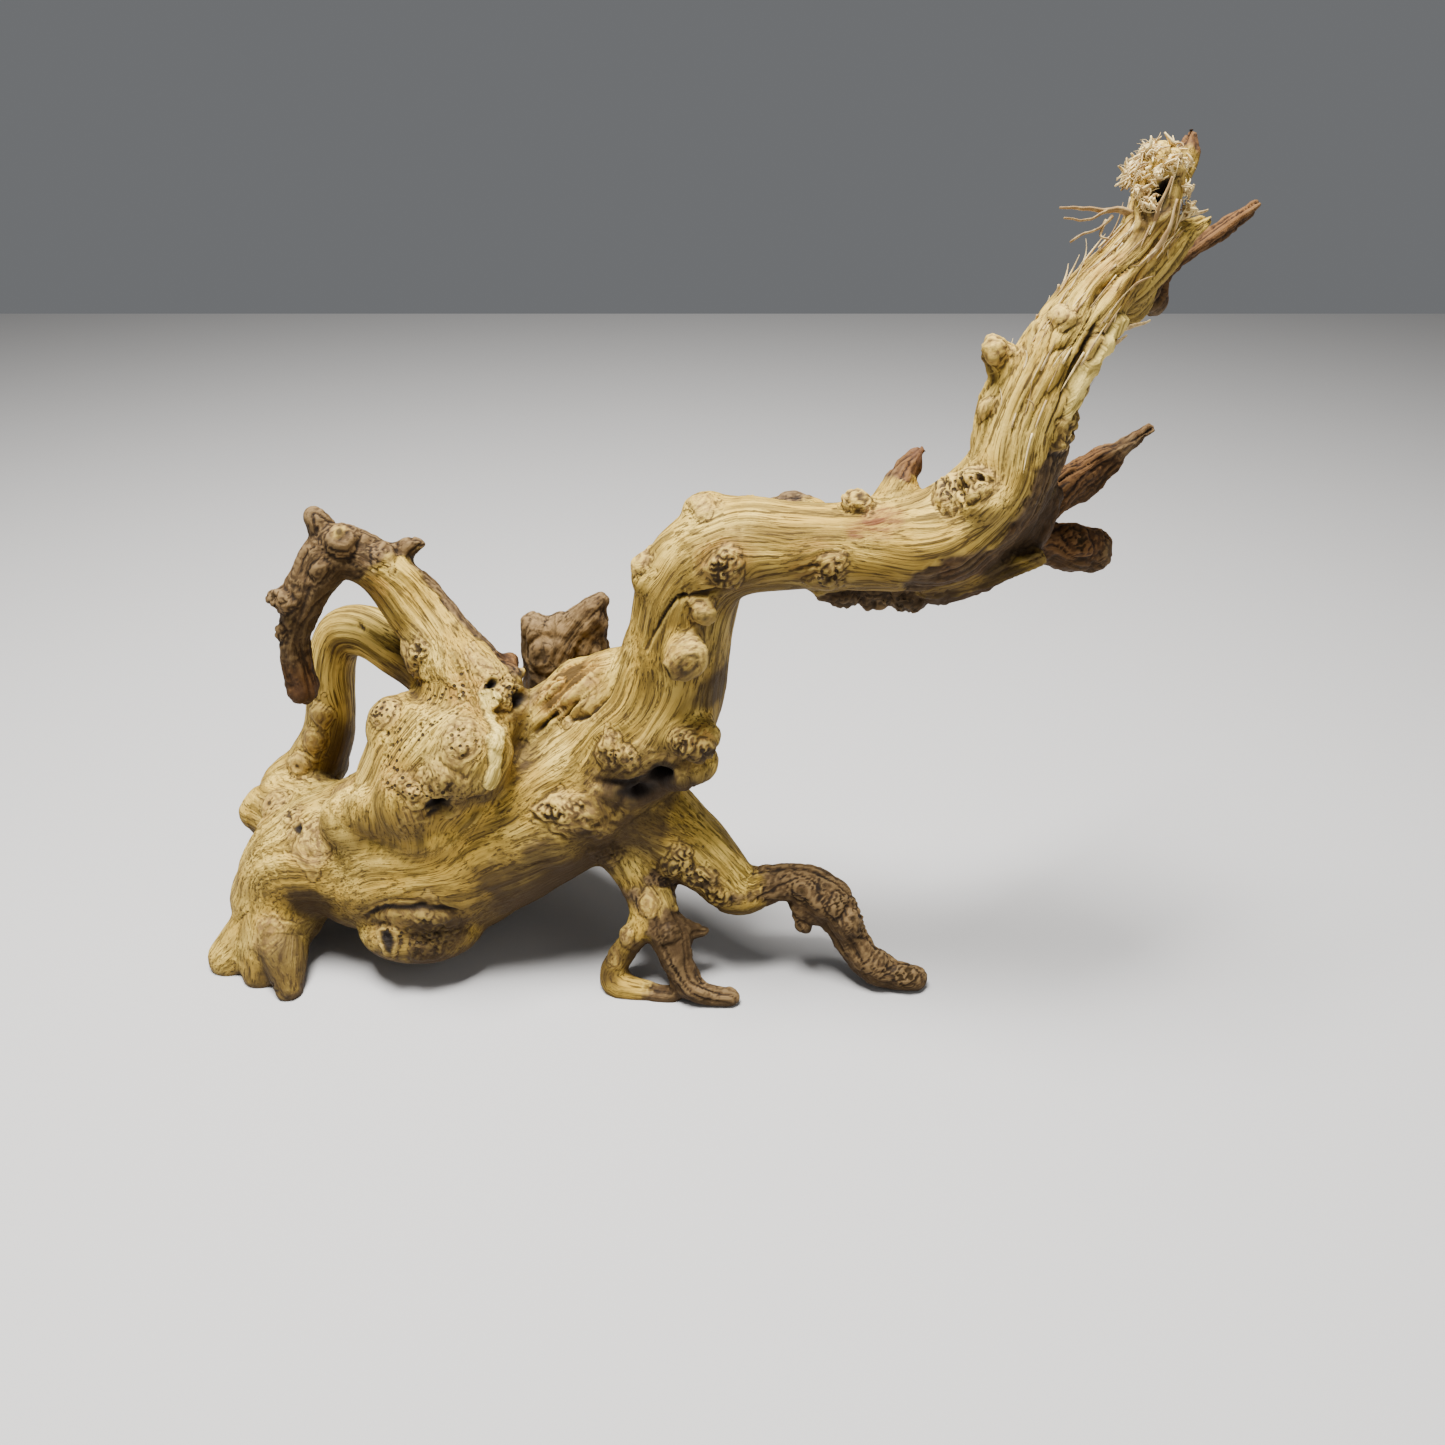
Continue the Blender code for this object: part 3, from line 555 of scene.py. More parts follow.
lines = [    # raised strips and cracks: route, half width, height, name
    ([(-63, -22, 129), (-57, -30, 125), (-59, -37, 120)], 4.4, 1.6, "flake"),
    ([(-58, -33, 123), (-59, -40, 117), (-62, -44, 103)], 3.0, 1.6, "flake"),
    ([(-12, -21, 145), (-17, -24, 132), (-25, -23, 123), (-34, -18, 118)], 1.2, -2.6, "crack"),
    ([(-34, -14, 124), (-43, -15, 116), (-49, -14, 109)], 1.1, -2.2, "crack"),
    ([(-10, -30, 140), (-1, -32, 157), (5, -35, 170), (11, -38, 180), (28, -41, 184),
      (38, -42, 183), (48, -43, 191), (62, -43, 195), (80, -44, 197)], 1.0, -2.0, "crack"),
    ([(14, -38, 184), (10, -40, 172), (5, -38, 160)], 0.9, -1.4, "crack"),
    ([(-128, 22, 145), (-121, 20, 136), (-114, 16, 128)], 1.3, -2.2, "crack"),
    ([(142, -41, 279), (153, -37, 293)], 0.9, -1.2, "crack"),
    ([(122, -47, 240), (127, -46, 256), (132, -44, 268)], 0.8, -1.0, "crack"),
    ([(136, -45, 252), (139, -44, 261), (145, -42, 276)], 2.0, -3.2, "crack"),
    ([(139, -42, 236), (133, -46, 226), (128, -47, 218), (124, -48, 212), (117, -49, 204),
      (110, -48, 199), (96, -46, 192)], 1.3, -2.6, "crack"),
    ([(-100, -38, 94), (-88, -44, 90), (-74, -44, 93), (-60, -42, 99)], 2.4, -2.6, "crack"),
    ([(-45, -40, 103), (-31, -42, 101), (-9, -38, 100), (6, -36, 104)], 2.6, -3.0, "crack"),
    ([(-9, -38, 98), (-15, -40, 87), (-24, -42, 79), (-38, -42, 78)], 2.0, -2.4, "crack"),
    ([(-132, -40, 30), (-112, -46, 44), (-96, -48, 46), (-82, -46, 42)], 2.4, -2.4, "crack"),
    ([(-118, -48, 36), (-104, -50, 32), (-92, -50, 29)], 1.8, -1.6, "crack"),
    ([(-157, -40, 59), (-130, -44, 59), (-103, -46, 69), (-80, -46, 82), (-55, -46, 94)],
     4.5, 1.0, "fold"),
    ([(-132, -44, 46), (-104, -48, 55), (-74, -48, 65), (-45, -44, 72), (-24, -40, 75)],
     3.6, 1.2, "fold"),
    ([(-150, -42, 52), (-124, -44, 50), (-92, -48, 62), (-60, -46, 76)], 3.0, -0.8, "fold"),
    ([(153, -37, 274), (147, -42, 265), (143, -44, 256), (141, -46, 247)], 2.8, 2.4, "flake"),
    ([(116, -35, 262), (114, -36, 252), (116, -37, 242)], 2.6, 1.6, "fold"),
    ([(0, 6, 110), (10, 4, 140), (14, 0, 170)], 1.4, -1.8, "crack"),
    ([(-150, 20, 60), (-120, 34, 62), (-90, 42, 70)], 1.5, -1.8, "crack"),
    ([(146, -18, 262), (152, -17, 284), (160, -14, 300)], 1.4, -1.8, "crack"),
]
bareStrips = [    # where the wood shows through the bark again: route and half width
    ([(98, -38, 184), (114, -41, 187), (128, -42, 191), (138, -41, 196)], 4.0),
    ([(28, -40, 36), (38, -40, 38)], 4.0),
]
barkStrips = [    # route and half width of bark that clings along a limb
    ([(146, -36, 236), (140, -41, 223), (134, -44, 212), (127, -44, 204), (117, -44, 196),
      (104, -43, 190)], 10.0),
    ([(-60, 6, 128), (-68, 8, 136), (-76, 10, 148), (-87, 14, 166), (-94, 16, 176),
      (-105, 14, 184), (-118, 11, 188), (-129, 8, 187)], 8.5),
    ([(-112, 4, 184), (-124, 0, 182), (-136, -2, 174), (-142, -4, 160)], 7.5),
    ([(150, -22, 236), (146, -28, 222), (138, -30, 206), (130, -33, 196), (118, -36, 189),
      (104, -34, 182), (84, -29, 172), (72, -28, 172)], 8.5),
    ([(152, -22, 238), (146, -26, 222), (141, -28, 208), (133, -32, 199), (122, -34, 192)], 12.5),
    ([(150, -16, 226), (146, -14, 208)], 12),
    ([(172, -16, 277), (176, -12, 270)], 7.5), ([(-61, 0, 131), (-62, 6, 130)], 6.5),
    ([(-6, -30, 96), (4, -34, 92), (16, -32, 98)], 6.5),
    ([(-12, -30, 40), (-4, -30, 48), (10, -30, 42), (24, -30, 36)], 5.0),
    ([(-20, -46, 2), (-10, -48, 2), (6, -50, 2)], 3.0),
]
stringyRoutes = ("splinter", "splinterLow", "spar", "sideRidge", "peg", "web")


def toLine(points, route):
    # distance to a route, and the share of the way along it
    stops = np.array(route, dtype=float)
    best = np.full(len(points), 1e9)
    along = np.zeros(len(points))
    for k, (start, end) in enumerate(zip(stops[:-1], stops[1:])):
        way = end - start
        t = np.clip((points - start) @ way / (way @ way), 0, 1)
        gap = np.linalg.norm(points - start - t[:, None] * way, axis=1)
        closer = gap < best
        best[closer] = gap[closer]
        along[closer] = (k + t[closer]) / (len(stops) - 1)
    return best, along


def bendGrain(points, field):
    # fibres part in front of a knot and close behind it, like water round a
    # stone: the cross distance shrinks by R^2 / d^2 with d from the knot
    for x, y, z, size, rise, pit, kind in knots:
        centre = np.argmin(((points - (x, y, z)) ** 2).sum(axis=1))
        reach = np.linalg.norm(points - points[centre], axis=1)
        near = np.flatnonzero(reach < 4.5 * size)
        for name in ("A", "B"):
            grain = field["grain" + name]
            same = near[np.abs(grain[near, 0] - grain[centre, 0]) < 5 * size]
            middle = grain[centre]
            outward = middle[1:] / max(np.linalg.norm(middle[1:]), 1e-6)
            across = np.array((-outward[1], outward[0]))
            offset = (grain[same, 1:] - middle[1:]) @ across
            spread = np.maximum(reach[same], size * 0.9)
            pull = (size * 1.05 / spread) ** 2 * (1 - ramp(reach[same], 2.5 * size, 4.5 * size))
            grain[same, 1:] -= across[None, :] * (offset * pull)[:, None]


relief = {    # heights in millimetres, on a limb of fullRadius
    "fullRadius": 16,
    "bulge": 1.15,            # long soft bulges along the grain
    "ripple": (0.45, 0.5),    # narrower ones: on sound wood, and more where it is stringy
    "groove": (0.2, 1.3),     # sharp grooves between them, likewise
    "fibre": (0.16, 0.5),     # single fibres, likewise
    "furrow": 1.1,            # furrows in the bark
    "barkGrit": 0.6,
    "barkLump": 0.9,
    "unevenness": 0.9,        # of the whole limb
    "shred": 1.6,             # slanted shreds of the torn patch
    "pitGap": 3.6,            # between the small pits of a burr
    "noduleGap": 2.9,         # between the small lumps inside a rose
}
tornPatch = {"middle": (-31, -8, 128), "halfSizes": (18, 14, 13)}    # beside the stump


def barkCover(points, field, rough):
    # how much bark lies on each point: the limb's own share, raised along the
    # bark strips, lowered along the bare ones, and its edge broken by noise
    bark = blended(field, "bark")
    for route, width in barkStrips:
        bark = np.maximum(bark, 1.25 - 0.75 * toLine(points, route)[0] / width)
    for route, width in bareStrips:
        bark = np.minimum(bark, 0.5 * toLine(points, route)[0] / width)
    return ramp(bark + 0.3 * rough + 0.16 * layeredNoise(points / 4, 2, 7), 0.36, 0.62)


def grainRelief(points, field, rough, bark, torn):
    # bulges, ripples, grooves and fibres: noise stretched along each limb and
    # scaled by its thickness, with furrows where bark lies
    slim = np.clip(blended(field, "radius") / relief["fullRadius"], 0.25, 1.3)
    onArm = ramp(points[:, 2], 225, 262) * (points[:, 0] > 95)
    stringy = np.isin(field["limb"], [list(routes).index(name) for name in stringyRoutes])
    stringy = np.maximum(np.maximum(onArm, torn), ramp(stringy + 0.3 * rough, 0.3, 0.8))
    push = np.zeros(len(points))
    for name, share in (("A", field["share"]), ("B", 1 - field["share"])):
        grain = field["grain" + name]
        bulge = latticeNoise(grain * (0.014, 0.085, 0.085), 11)
        ripple = latticeNoise(grain * (0.022, 0.2, 0.2), 23)
        groove = 1 - np.abs(latticeNoise(grain * (0.02, 0.34, 0.34), 37)) * 2
        fibre = latticeNoise(grain * (0.03, 0.62, 0.62), 51)
        furrow = 1 - np.abs(latticeNoise(grain * (0.035, 0.27, 0.27), 63)) * 2.4
        sound, more = relief["ripple"]
        push += share * slim * (relief["bulge"] * bulge + (sound + more * stringy) * ripple)
        sound, more = relief["groove"]
        depth = np.maximum(slim, stringy * 0.8) * (sound + more * stringy)
        push -= share * depth * np.clip(groove, 0, 1) ** 2
        sound, more = relief["fibre"]
        push += share * (sound + more * stringy) * fibre
        push -= share * bark * relief["furrow"] * np.clip(furrow, 0, 1) ** 1.5
    push += bark * (relief["barkGrit"] * layeredNoise(points / 4.5, 3, 71)
                    + relief["barkLump"] * latticeNoise(points / 11, 73))
    return push + relief["unevenness"] * slim * layeredNoise(points / 26, 2, 83)


def burrRelief(points, push, marks):
    # crowds of small round pits with raised rims
    pitAt, _ = cellNoise(points / relief["pitGap"], 19)
    pitSize = 0.2 + 0.16 * latticeNoise(points / 7, 21)
    crowd = ramp(layeredNoise(points / 9, 2, 25), -0.05, 0.3)
    pit = 1 - ramp(pitAt, pitSize * 0.5, pitSize * 1.5)
    rim = np.exp(-((pitAt - pitSize * 1.9) / 0.12) ** 2)
    for centre, size, depth in burrs:
        reach = np.linalg.norm(points - centre, axis=1) / size
        here = (1 - ramp(reach, 0.6, 1.05)) * crowd
        push += here * (0.3 * rim - 0.6 * depth * pit)
        marks["pits"] = np.maximum(marks["pits"], here * pit * 0.6)
        marks["pale"] = np.maximum(marks["pale"], here * 0.5)


def knotReach(offset, size, place, kind, lean):
    # distance from a knot's middle in its own radii, for a ragged oval outline
    x, y, z = place
    offset = offset - 0.28 * (offset @ lean)[:, None] * lean
    reach = np.linalg.norm(offset, axis=1) / size
    ragged = 0.5 if kind == "hole" else 0.34
    reach = reach * (1 + ragged * latticeNoise(offset / size * 1.3 + place, 3)
                     + 0.13 * latticeNoise(offset / size * 4.1 + (y, z, x), 9))
    return offset, reach, 0.55 + 0.6 * latticeNoise(offset / size * 1.8 + (z, x, y), 13)


def knotRelief(points, normals, push, marks):
    # each knot: a dome of rise * (1 - reach^2), a central pit of
    # exp(-reach^2) and a moat, then what its kind adds
    fine, edge = cellNoise(points / relief["noduleGap"], 17)
    nodule = np.clip(1 - (fine / 0.62) ** 2, 0, 1)
    crevice = np.exp(-((edge - fine) / 0.16) ** 2)

    def darken(mark, values):
        marks[mark] = np.maximum(marks[mark], values)

    for number, (x, y, z, size, rise, pit, kind) in enumerate(knots):
        nearest = np.argmin(((points - (x, y, z)) ** 2).sum(axis=1))
        lean = np.cross(normals[nearest], (math.cos(number * 2.4), 0.3, math.sin(number * 2.4)))
        lean = lean / np.linalg.norm(lean)
        offset, reach, uneven = knotReach(points - points[nearest], size, (x, y, z), kind, lean)
        push += rise * np.clip(1 - (reach / 1.25) ** 2, 0, 1) ** 1.2
        push -= pit * np.exp(-(reach / (0.34 if kind == "hole" else 0.2)) ** 2)
        push -= 0.14 * rise * np.exp(-((reach - 1.25) / 0.22) ** 2)
        if kind == "rose":
            inside = 1 - ramp(reach, 0.7, 1.0)
            push += inside * (0.65 * nodule - 1.2 * crevice * uneven)
            push += 0.3 * rise * uneven * np.exp(-((reach - 0.8) / 0.14) ** 2)
            darken("pits", inside * crevice * uneven * (0.7 + 0.7 * pit))
        if kind == "crumb":
            inside = 1 - ramp(reach, 0.7, 1.15)
            crumbs = layeredNoise(offset / 2.6 + (x, y, z), 2, 15)
            push += inside * (0.9 * crumbs - 0.7 * crevice * uneven)
            darken("pits", inside * crevice * uneven * 0.7)
        if kind == "eye":
            push += 0.3 * uneven * np.cos(reach * 11) * (1 - ramp(reach, 1.0, 1.5))
            darken("pits", (pit > 0.5) * np.exp(-(reach / 0.2) ** 2))
        if kind == "nub":
            shown = 1 - ramp(reach, 0.9, 1.3)
            push += shown * (0.35 * uneven * np.cos(reach * 10) - 0.2 * crevice)
            push += 0.8 * np.exp(-(reach / 0.35) ** 2)
            darken("pits", 0.7 * np.exp(-((reach - 0.3) / 0.1) ** 2))
        if kind == "hole":
            push += 0.9 * uneven * np.exp(-((reach - 0.95) / 0.3) ** 2)
            # painted shade inside the hole
            darken("hole", 1 - ramp(reach, 0.4, 0.8))
        darken("knot", 1 - ramp(reach, 0.8, 1.6))
        marks["ring"] = np.minimum(marks["ring"], reach)


def lineRelief(points, rough, push, marks):
    # strips and cracks: height * exp(-(gap / width)^2) across their routes,
    # flakes with a crisp edge instead; bands of dots are only marked
    for route, width in dots:
        band = 1 - ramp(toLine(points, route)[0] / width + 0.35 * rough, 0.55, 1.2)
        marks["dots"] = np.maximum(marks["dots"], band)
    wobble = 1 + 0.4 * layeredNoise(points / 7, 3, 29)
    for route, width, height, name in lines:
        gap, along = toLine(points, route)
        taper = np.sin(math.pi * np.clip(along * 0.94 + 0.03, 0, 1)) ** 0.5
        off = gap / (width * wobble)
        if name == "flake":
            push += height * (1 - ramp(off, 0.7, 1.1))
            marks["flake"] = np.maximum(marks["flake"], 1 - ramp(off, 0.8, 1.1))
        else:
            push += height * taper * np.exp(-off ** 2)
        if name == "crack":
            marks["crack"] = np.minimum(marks["crack"], gap / np.maximum(taper, 0.2) / width)


def wearMarks(points, normals, push, marks, edges):
    # ridges stand above their neighbours and creases below them, for paler worn
    # ridges and painted shade in the creases; valleys lie below the wider mean,
    # for painted shade; what faces down gets painted shade, more so low down
    count = len(points)
    hollow = ((neighbourMean(points, edges, count) - points) * normals).sum(axis=1)
    level = push[:, None]
    for step in range(14):
        level = neighbourMean(level, edges, count)
    # worn ridges, and creases for painted shade
    marks["wearAndCreaseShade"] = np.clip(-hollow / 0.16, -1, 1) * 0.5 + 0.5
    # valleys, for painted shade
    marks["valleyShade"] = np.clip((level[:, 0] - push) / 1.6, -1, 1) * 0.5 + 0.5
    # painted shade: faces that look down are darkened, more so near the ground
    facing = normals[:, 2:]
    for step in range(10):
        facing = neighbourMean(facing, edges, count)
    lowness = 1.15 - 0.6 * points[:, 2] / 300
    marks["under"] = np.clip(ramp(-facing[:, 0], -0.4, 0.6) * lowness, 0, 1)


def carve(mesh):
    # all relief on the skin, in millimetres along the normals, and the marks,
    # mostly 0 to 1, that tell the surface where its knots, bark and pits are
    points = pointsOf(mesh)
    normals = normalsOf(mesh)
    count = len(points)
    field = followLimbs(points)
    print("grain follows the limbs")
    bendGrain(points, field)
    rough = layeredNoise(points / 11, 2, 5)
    torn = np.linalg.norm((points - tornPatch["middle"]) / tornPatch["halfSizes"], axis=1)
    torn = 1 - ramp(torn + 0.25 * rough, 0.75, 1.1)
    bark = barkCover(points, field, rough)
    push = grainRelief(points, field, rough, bark, torn)
    slanted = np.stack((points @ (0.69, -0.1, 0.71) * 0.05, points @ (0.72, 0, -0.69) * 0.36,
                        points[:, 1] * 0.3), axis=1)
    shred = layeredNoise(slanted, 2, 27)
    push += torn * (0.6 + relief["shred"] * (shred - np.exp(-(shred / 0.16) ** 2)))
    print("ridges and grooves")
    occlusionShade = np.empty(count, dtype=np.float32)
    mesh.attributes["occlusionShade"].data.foreach_get("value", occlusionShade)
    mesh.attributes.remove(mesh.attributes["occlusionShade"])
    marks = {"bark": bark, "torn": torn, "occlusionShade": occlusionShade, "shred": 0.5 + 0.5 * shred}
    for name in ("knot", "hole", "pale", "pits", "dots", "flake"):
        marks[name] = np.zeros(count)
    for name in ("ring", "crack"):    # distances, far off at first
        marks[name] = np.full(count, 9.0)
    burrRelief(points, push, marks)
    knotRelief(points, normals, push, marks)
    print("knots and burrs")
    lineRelief(points, rough, push, marks)
    foot = ramp(points[:, 2], 0.5, 7)    # the soles stay flat on the floor
    points = points + normals * (push * (0.15 + 0.85 * foot))[:, None]
    points[:, 2] = np.maximum(points[:, 2], 0)
    mesh.vertices.foreach_set("co", ((points - boxMiddle) * mm).ravel())
    mesh.update()
    wearMarks(points, normals, push, marks, edgesOf(mesh))
    return points, field, marks


stains = {    # patches of colour: centre and radius
    "red": [((82, -41, 210), 9), ((74, -42, 206), 5), ((-146, -3, 126), 7)],
    "warm": [
        ((29, -41, 194), 13), ((-38, -10, 128), 15), ((-30, 0, 118), 14), ((60, -44, 196), 12),
        ((-98, -37, 104), 12), ((-70, -22, 132), 12), ((150, -37, 290), 12),
        ((160, -30, 300), 12), ((-112, -4, 168), 12), ((20, -42, 124), 8), ((161, -32, 316), 8),
        ((-34, -10, 132), 13), ((-26, -12, 138), 10), ((30, -38, 193), 8)],
    "end": [((-146, 2, 121), 11), ((179, 4, 182), 7), ((97, -18, 228), 5)],
    "pale": [
        ((-18, -15, 142), 7), ((-29, -17, 128), 8), ((-146, 30, 112), 24), ((-122, 22, 138), 18),
        ((20, -34, 212), 14), ((-44, 26, 132), 24), ((-160, -20, 62), 14), ((-142, -20, 66), 14),
        ((-84, -38, 122), 18), ((-112, -14, 150), 12), ((162, -28, 318), 9),
        ((140, -42, 275), 14), ((36, -34, 50), 10), ((-92, -14, 144), 12)],
    "dark": [    # partly painted shade in hollows, on the underside and on the feet, partly dark wood and bark
        ((2, -34, 92), 22), ((-14, -34, 98), 15), ((-6, -32, 76), 19), ((-24, -30, 62), 18),
        ((8, -42, 22), 20), ((-14, -40, 12), 17), ((-50, -30, 44), 30), ((-100, -30, 22), 26),
        ((142, -34, 216), 15), ((124, -38, 192), 12), ((133, -34, 201), 12),
        ((106, -36, 180), 11), ((-62, -42, 54), 17), ((-44, -38, 60), 20), ((-24, -34, 66), 19),
        ((-155, -44, 20), 16), ((-150, -34, 36), 13), ((-8, -33, 74), 14), ((26, -28, 138), 12),
        ((-92, -46, 26), 20), ((-160, -44, 12), 22), ((-172, -36, 8), 18)],
    "ruddy": [
        ((150, -12, 205), 44), ((188, -6, 294), 30), ((95, -20, 222), 14), ((172, -17, 320), 10),
        ((-147, 2, 124), 18), ((116, -36, 188), 22), ((-58, 6, 132), 12)],
}


def stainField(points, kind):
    # soft patches with ragged borders: 1 within 0.45 of the radius, 0 past 1.1
    total = np.zeros(len(points))
    ragged = layeredNoise(points / 7, 3, 97)
    for centre, size in stains[kind]:
        reach = np.linalg.norm(points - centre, axis=1) / size + 0.3 * ragged
        total = np.maximum(total, 1 - ramp(reach, 0.45, 1.1))
    return total


points, field, marks = carve(wood.data)
for kind in stains:
    marks[kind] = np.maximum(marks.get(kind, 0), stainField(points, kind))
print("relief carved")


# One piece per limb, parted at the main forks

forks = [    # middle of the cut, direction, radius
    ((4, -15, 124), (0.45, -0.12, 0.88), 36), ((125, -34, 224), (0.35, 0.0, 0.94), 23),
    ((144, -12, 197), (0.85, 0.5, 0.1), 17), ((-95, 8, 151), (-0.57, 0.26, 0.78), 14),
    ((-114, 26, 129), (-0.85, 0.35, 0.38), 16), ((-153, 34, 81), (-0.3, 0.1, -0.95), 17),
    ((-49, 30, 115), (0.0, 0.35, 0.94), 15), ((28, -26, 47), (0.68, -0.28, -0.68), 18),
    ((-3, -33, 36), (0.1, -0.35, -0.93), 15), ((92, -21, 219), (0.3, 0.2, 0.93), 8.5),
    ((176, -11, 287), (0.75, 0.4, 0.5), 8),
]
limbPieces = {    # piece and CAD node, finish slot, a point inside
    "trunk": ("straw_wood", (-98, -6, 47)), "rising_limb": ("straw_wood", (31, -23, 193)),
    "upper_arm": ("straw_wood", (131, -33, 249)), "elbow_stub": ("dark_bark", (166, 0, 185)),
    "arch_branch": ("weathered_root", (-124, 8, 180)),
    "rear_root": ("straw_wood", (-144, 32, 122)), "back_stump": ("dark_bark", (-50, 30, 124)),
    "right_root": ("weathered_root", (73, -34, 39)),
    "front_roots": ("weathered_root", (6, -42, 25)), "limb_horn": ("dark_bark", (93, -20, 220)),
    "tip_twig": ("dark_bark", (190, -6, 296)),
}


def storeMarks(mesh):
    # the fields as point attributes, which the cuts then carry along, with the
    # whole skin's normals, so that shading runs on across each cut
    field["facing"] = normalsOf(mesh)
    for name in ("grainA", "grainB", "facing"):
        made = mesh.attributes.new(name, "FLOAT_VECTOR", "POINT")
        made.data.foreach_set("vector", field[name].astype(np.float32).ravel())
    marks["share"] = field["share"]
    for name, values in marks.items():
        made = mesh.attributes.new(name, "FLOAT", "POINT")
        made.data.foreach_set("value", values.astype(np.float32))


def ringAround(bm, middle, normal, reach):
    # the closed ring of faces that the plane crosses on this limb alone
    crossed = {face for face in bm.faces
               if (face.verts[0].co - middle).length < reach
               and len({(vert.co - middle).dot(normal) > 0 for vert in face.verts}) == 2}
    front = [min(crossed, key=lambda face: (face.verts[0].co - middle).length)]
    ring = set(front)
    while front:
        for edge in front.pop().edges:
            for face in edge.link_faces:
                if face in crossed and face not in ring:
                    ring.add(face)
                    front.append(face)
    return ring


def islandsOf(bm):
    # the vertex numbers of each connected part
    bm.verts.index_update()
    unseen = set(bm.verts)
    groups = []
    while unseen:
        start = unseen.pop()
        group = [start.index]
        front = [start]
        while front:
            for edge in front.pop().link_edges:
                for vert in edge.verts:
                    if vert in unseen:
                        unseen.discard(vert)
                        group.append(vert.index)
                        front.append(vert)
        groups.append(sorted(group))
    return groups


def partAtForks(mesh):
    # a plane cut across each fork, then every open rim gets a flat cap
    bm = bmesh.new()
    bm.from_mesh(mesh)
    for centre, direction, size in forks:
        middle = Vector((np.array(centre) - boxMiddle) * mm)
        normal = Vector(direction).normalized()
        ring = ringAround(bm, middle, normal, size * 2 * mm)
        around = list({vert for face in ring for vert in face.verts})
        around += list({edge for face in ring for edge in face.edges}) + list(ring)
        cut = bmesh.ops.bisect_plane(bm, geom=around, dist=1e-6, plane_co=middle, plane_no=normal)
        rim = [part for part in cut["geom_cut"] if isinstance(part, bmesh.types.BMEdge)]
        bmesh.ops.split_edges(bm, edges=rim)
    openRims = [edge for edge in bm.edges if len(edge.link_faces) == 1]
    for edge in openRims:
        edge.smooth = False
    bmesh.ops.holes_fill(bm, edges=openRims, sides=0)
    for face in bm.faces:
        face.smooth = len(face.verts) < 9    # only a cap has more corners
    bmesh.ops.triangulate(bm, faces=[face for face in bm.faces if len(face.verts) > 4])
    groups = islandsOf(bm)
    bm.to_mesh(mesh)
    bm.free()
    print(len(groups), "pieces", sorted(len(group) for group in groups))
    return groups


def takePiece(source, name, group, look):
    # a mesh of its own for one island, attributes included
    count = len(source.vertices)
    number = np.full(count, -1)
    number[group] = np.arange(len(group))
    corners = np.empty(len(source.loops), dtype=np.int64)
    source.loops.foreach_get("vertex_index", corners)
    starts = np.empty(len(source.polygons), dtype=np.int64)
    sizes = np.empty(len(source.polygons), dtype=np.int64)
    smooths = np.empty(len(source.polygons), dtype=bool)
    source.polygons.foreach_get("loop_start", starts)
    source.polygons.foreach_get("loop_total", sizes)
    source.polygons.foreach_get("use_smooth", smooths)
    mine = number[corners[starts]] >= 0
    keep = np.repeat(mine, sizes)
    made = bpy.data.meshes.new(name)
    made.vertices.add(len(group))
    made.loops.add(int(keep.sum()))
    made.polygons.add(int(mine.sum()))
    places = pointsOf(source)[group] * mm
    made.vertices.foreach_set("co", places.ravel())
    made.loops.foreach_set("vertex_index", number[corners[keep]])
    newStarts = np.concatenate(([0], np.cumsum(sizes[mine])[:-1]))
    made.polygons.foreach_set("loop_start", newStarts)
    made.polygons.foreach_set("use_smooth", smooths[mine])
    made.update(calc_edges=True)
    for mark in ("grainA", "grainB", "facing"):
        values = np.empty(count * 3, dtype=np.float32)
        source.attributes[mark].data.foreach_get("vector", values)
        fresh = made.attributes.new(mark, "FLOAT_VECTOR", "POINT")
        fresh.data.foreach_set("vector", values.reshape(-1, 3)[group].ravel())
    for mark in marks:
        values = np.empty(count, dtype=np.float32)
        source.attributes[mark].data.foreach_get("value", values)
        fresh = made.attributes.new(mark, "FLOAT", "POINT")
        fresh.data.foreach_set("value", values[group])
    made.materials.append(look)
    piece = bpy.data.objects.new(name, made)
    bpy.context.scene.collection.objects.link(piece)
    return piece


# The wood's surface

woodColours = {    # linear colour values
    "cream": (0.77, 0.535, 0.115, 1), "straw": (0.54, 0.335, 0.048, 1),
    "olive": (0.19, 0.118, 0.018, 1), "line": (0.06, 0.034, 0.009, 1),
    "end": (0.15, 0.07, 0.035, 1), "flake": (0.76, 0.57, 0.15, 1),
    # umber: dark stains and painted shade
    "umber": (0.04, 0.022, 0.008, 1), "ruddy": (0.84, 0.64, 0.5, 1),
    "warm": (0.37, 0.19, 0.032, 1), "red": (0.16, 0.058, 0.02, 1),
    # hole: near black, painted shade in holes, cracks and bark furrows, half of the black of dots
    # and pits
    "knot": (0.27, 0.16, 0.06, 1), "hole": (0.014, 0.009, 0.006, 1),
    "barkDark": (0.026, 0.016, 0.008, 1), "barkMid": (0.1, 0.058, 0.024, 1),
    "barkPale": (0.27, 0.172, 0.072, 1),
}
woodGrain = {    # waves per millimetre along and across the grain, detail, roughness
    "broad": (0.016, 0.12, 3, 0.55), "streak": (0.014, 0.38, 5, 0.6),
    "fine": (0.02, 1.15, 5, 0.6), "stripe": (0.03, 0.55, 5, 0.65),
}
woodGloss = {"straw_wood": 0.2, "dark_bark": 0.14, "weathered_root": 0.12}
woodBump = {"strength": 0.85, "distance": 0.0011}
dotsPerMetre = 400.0


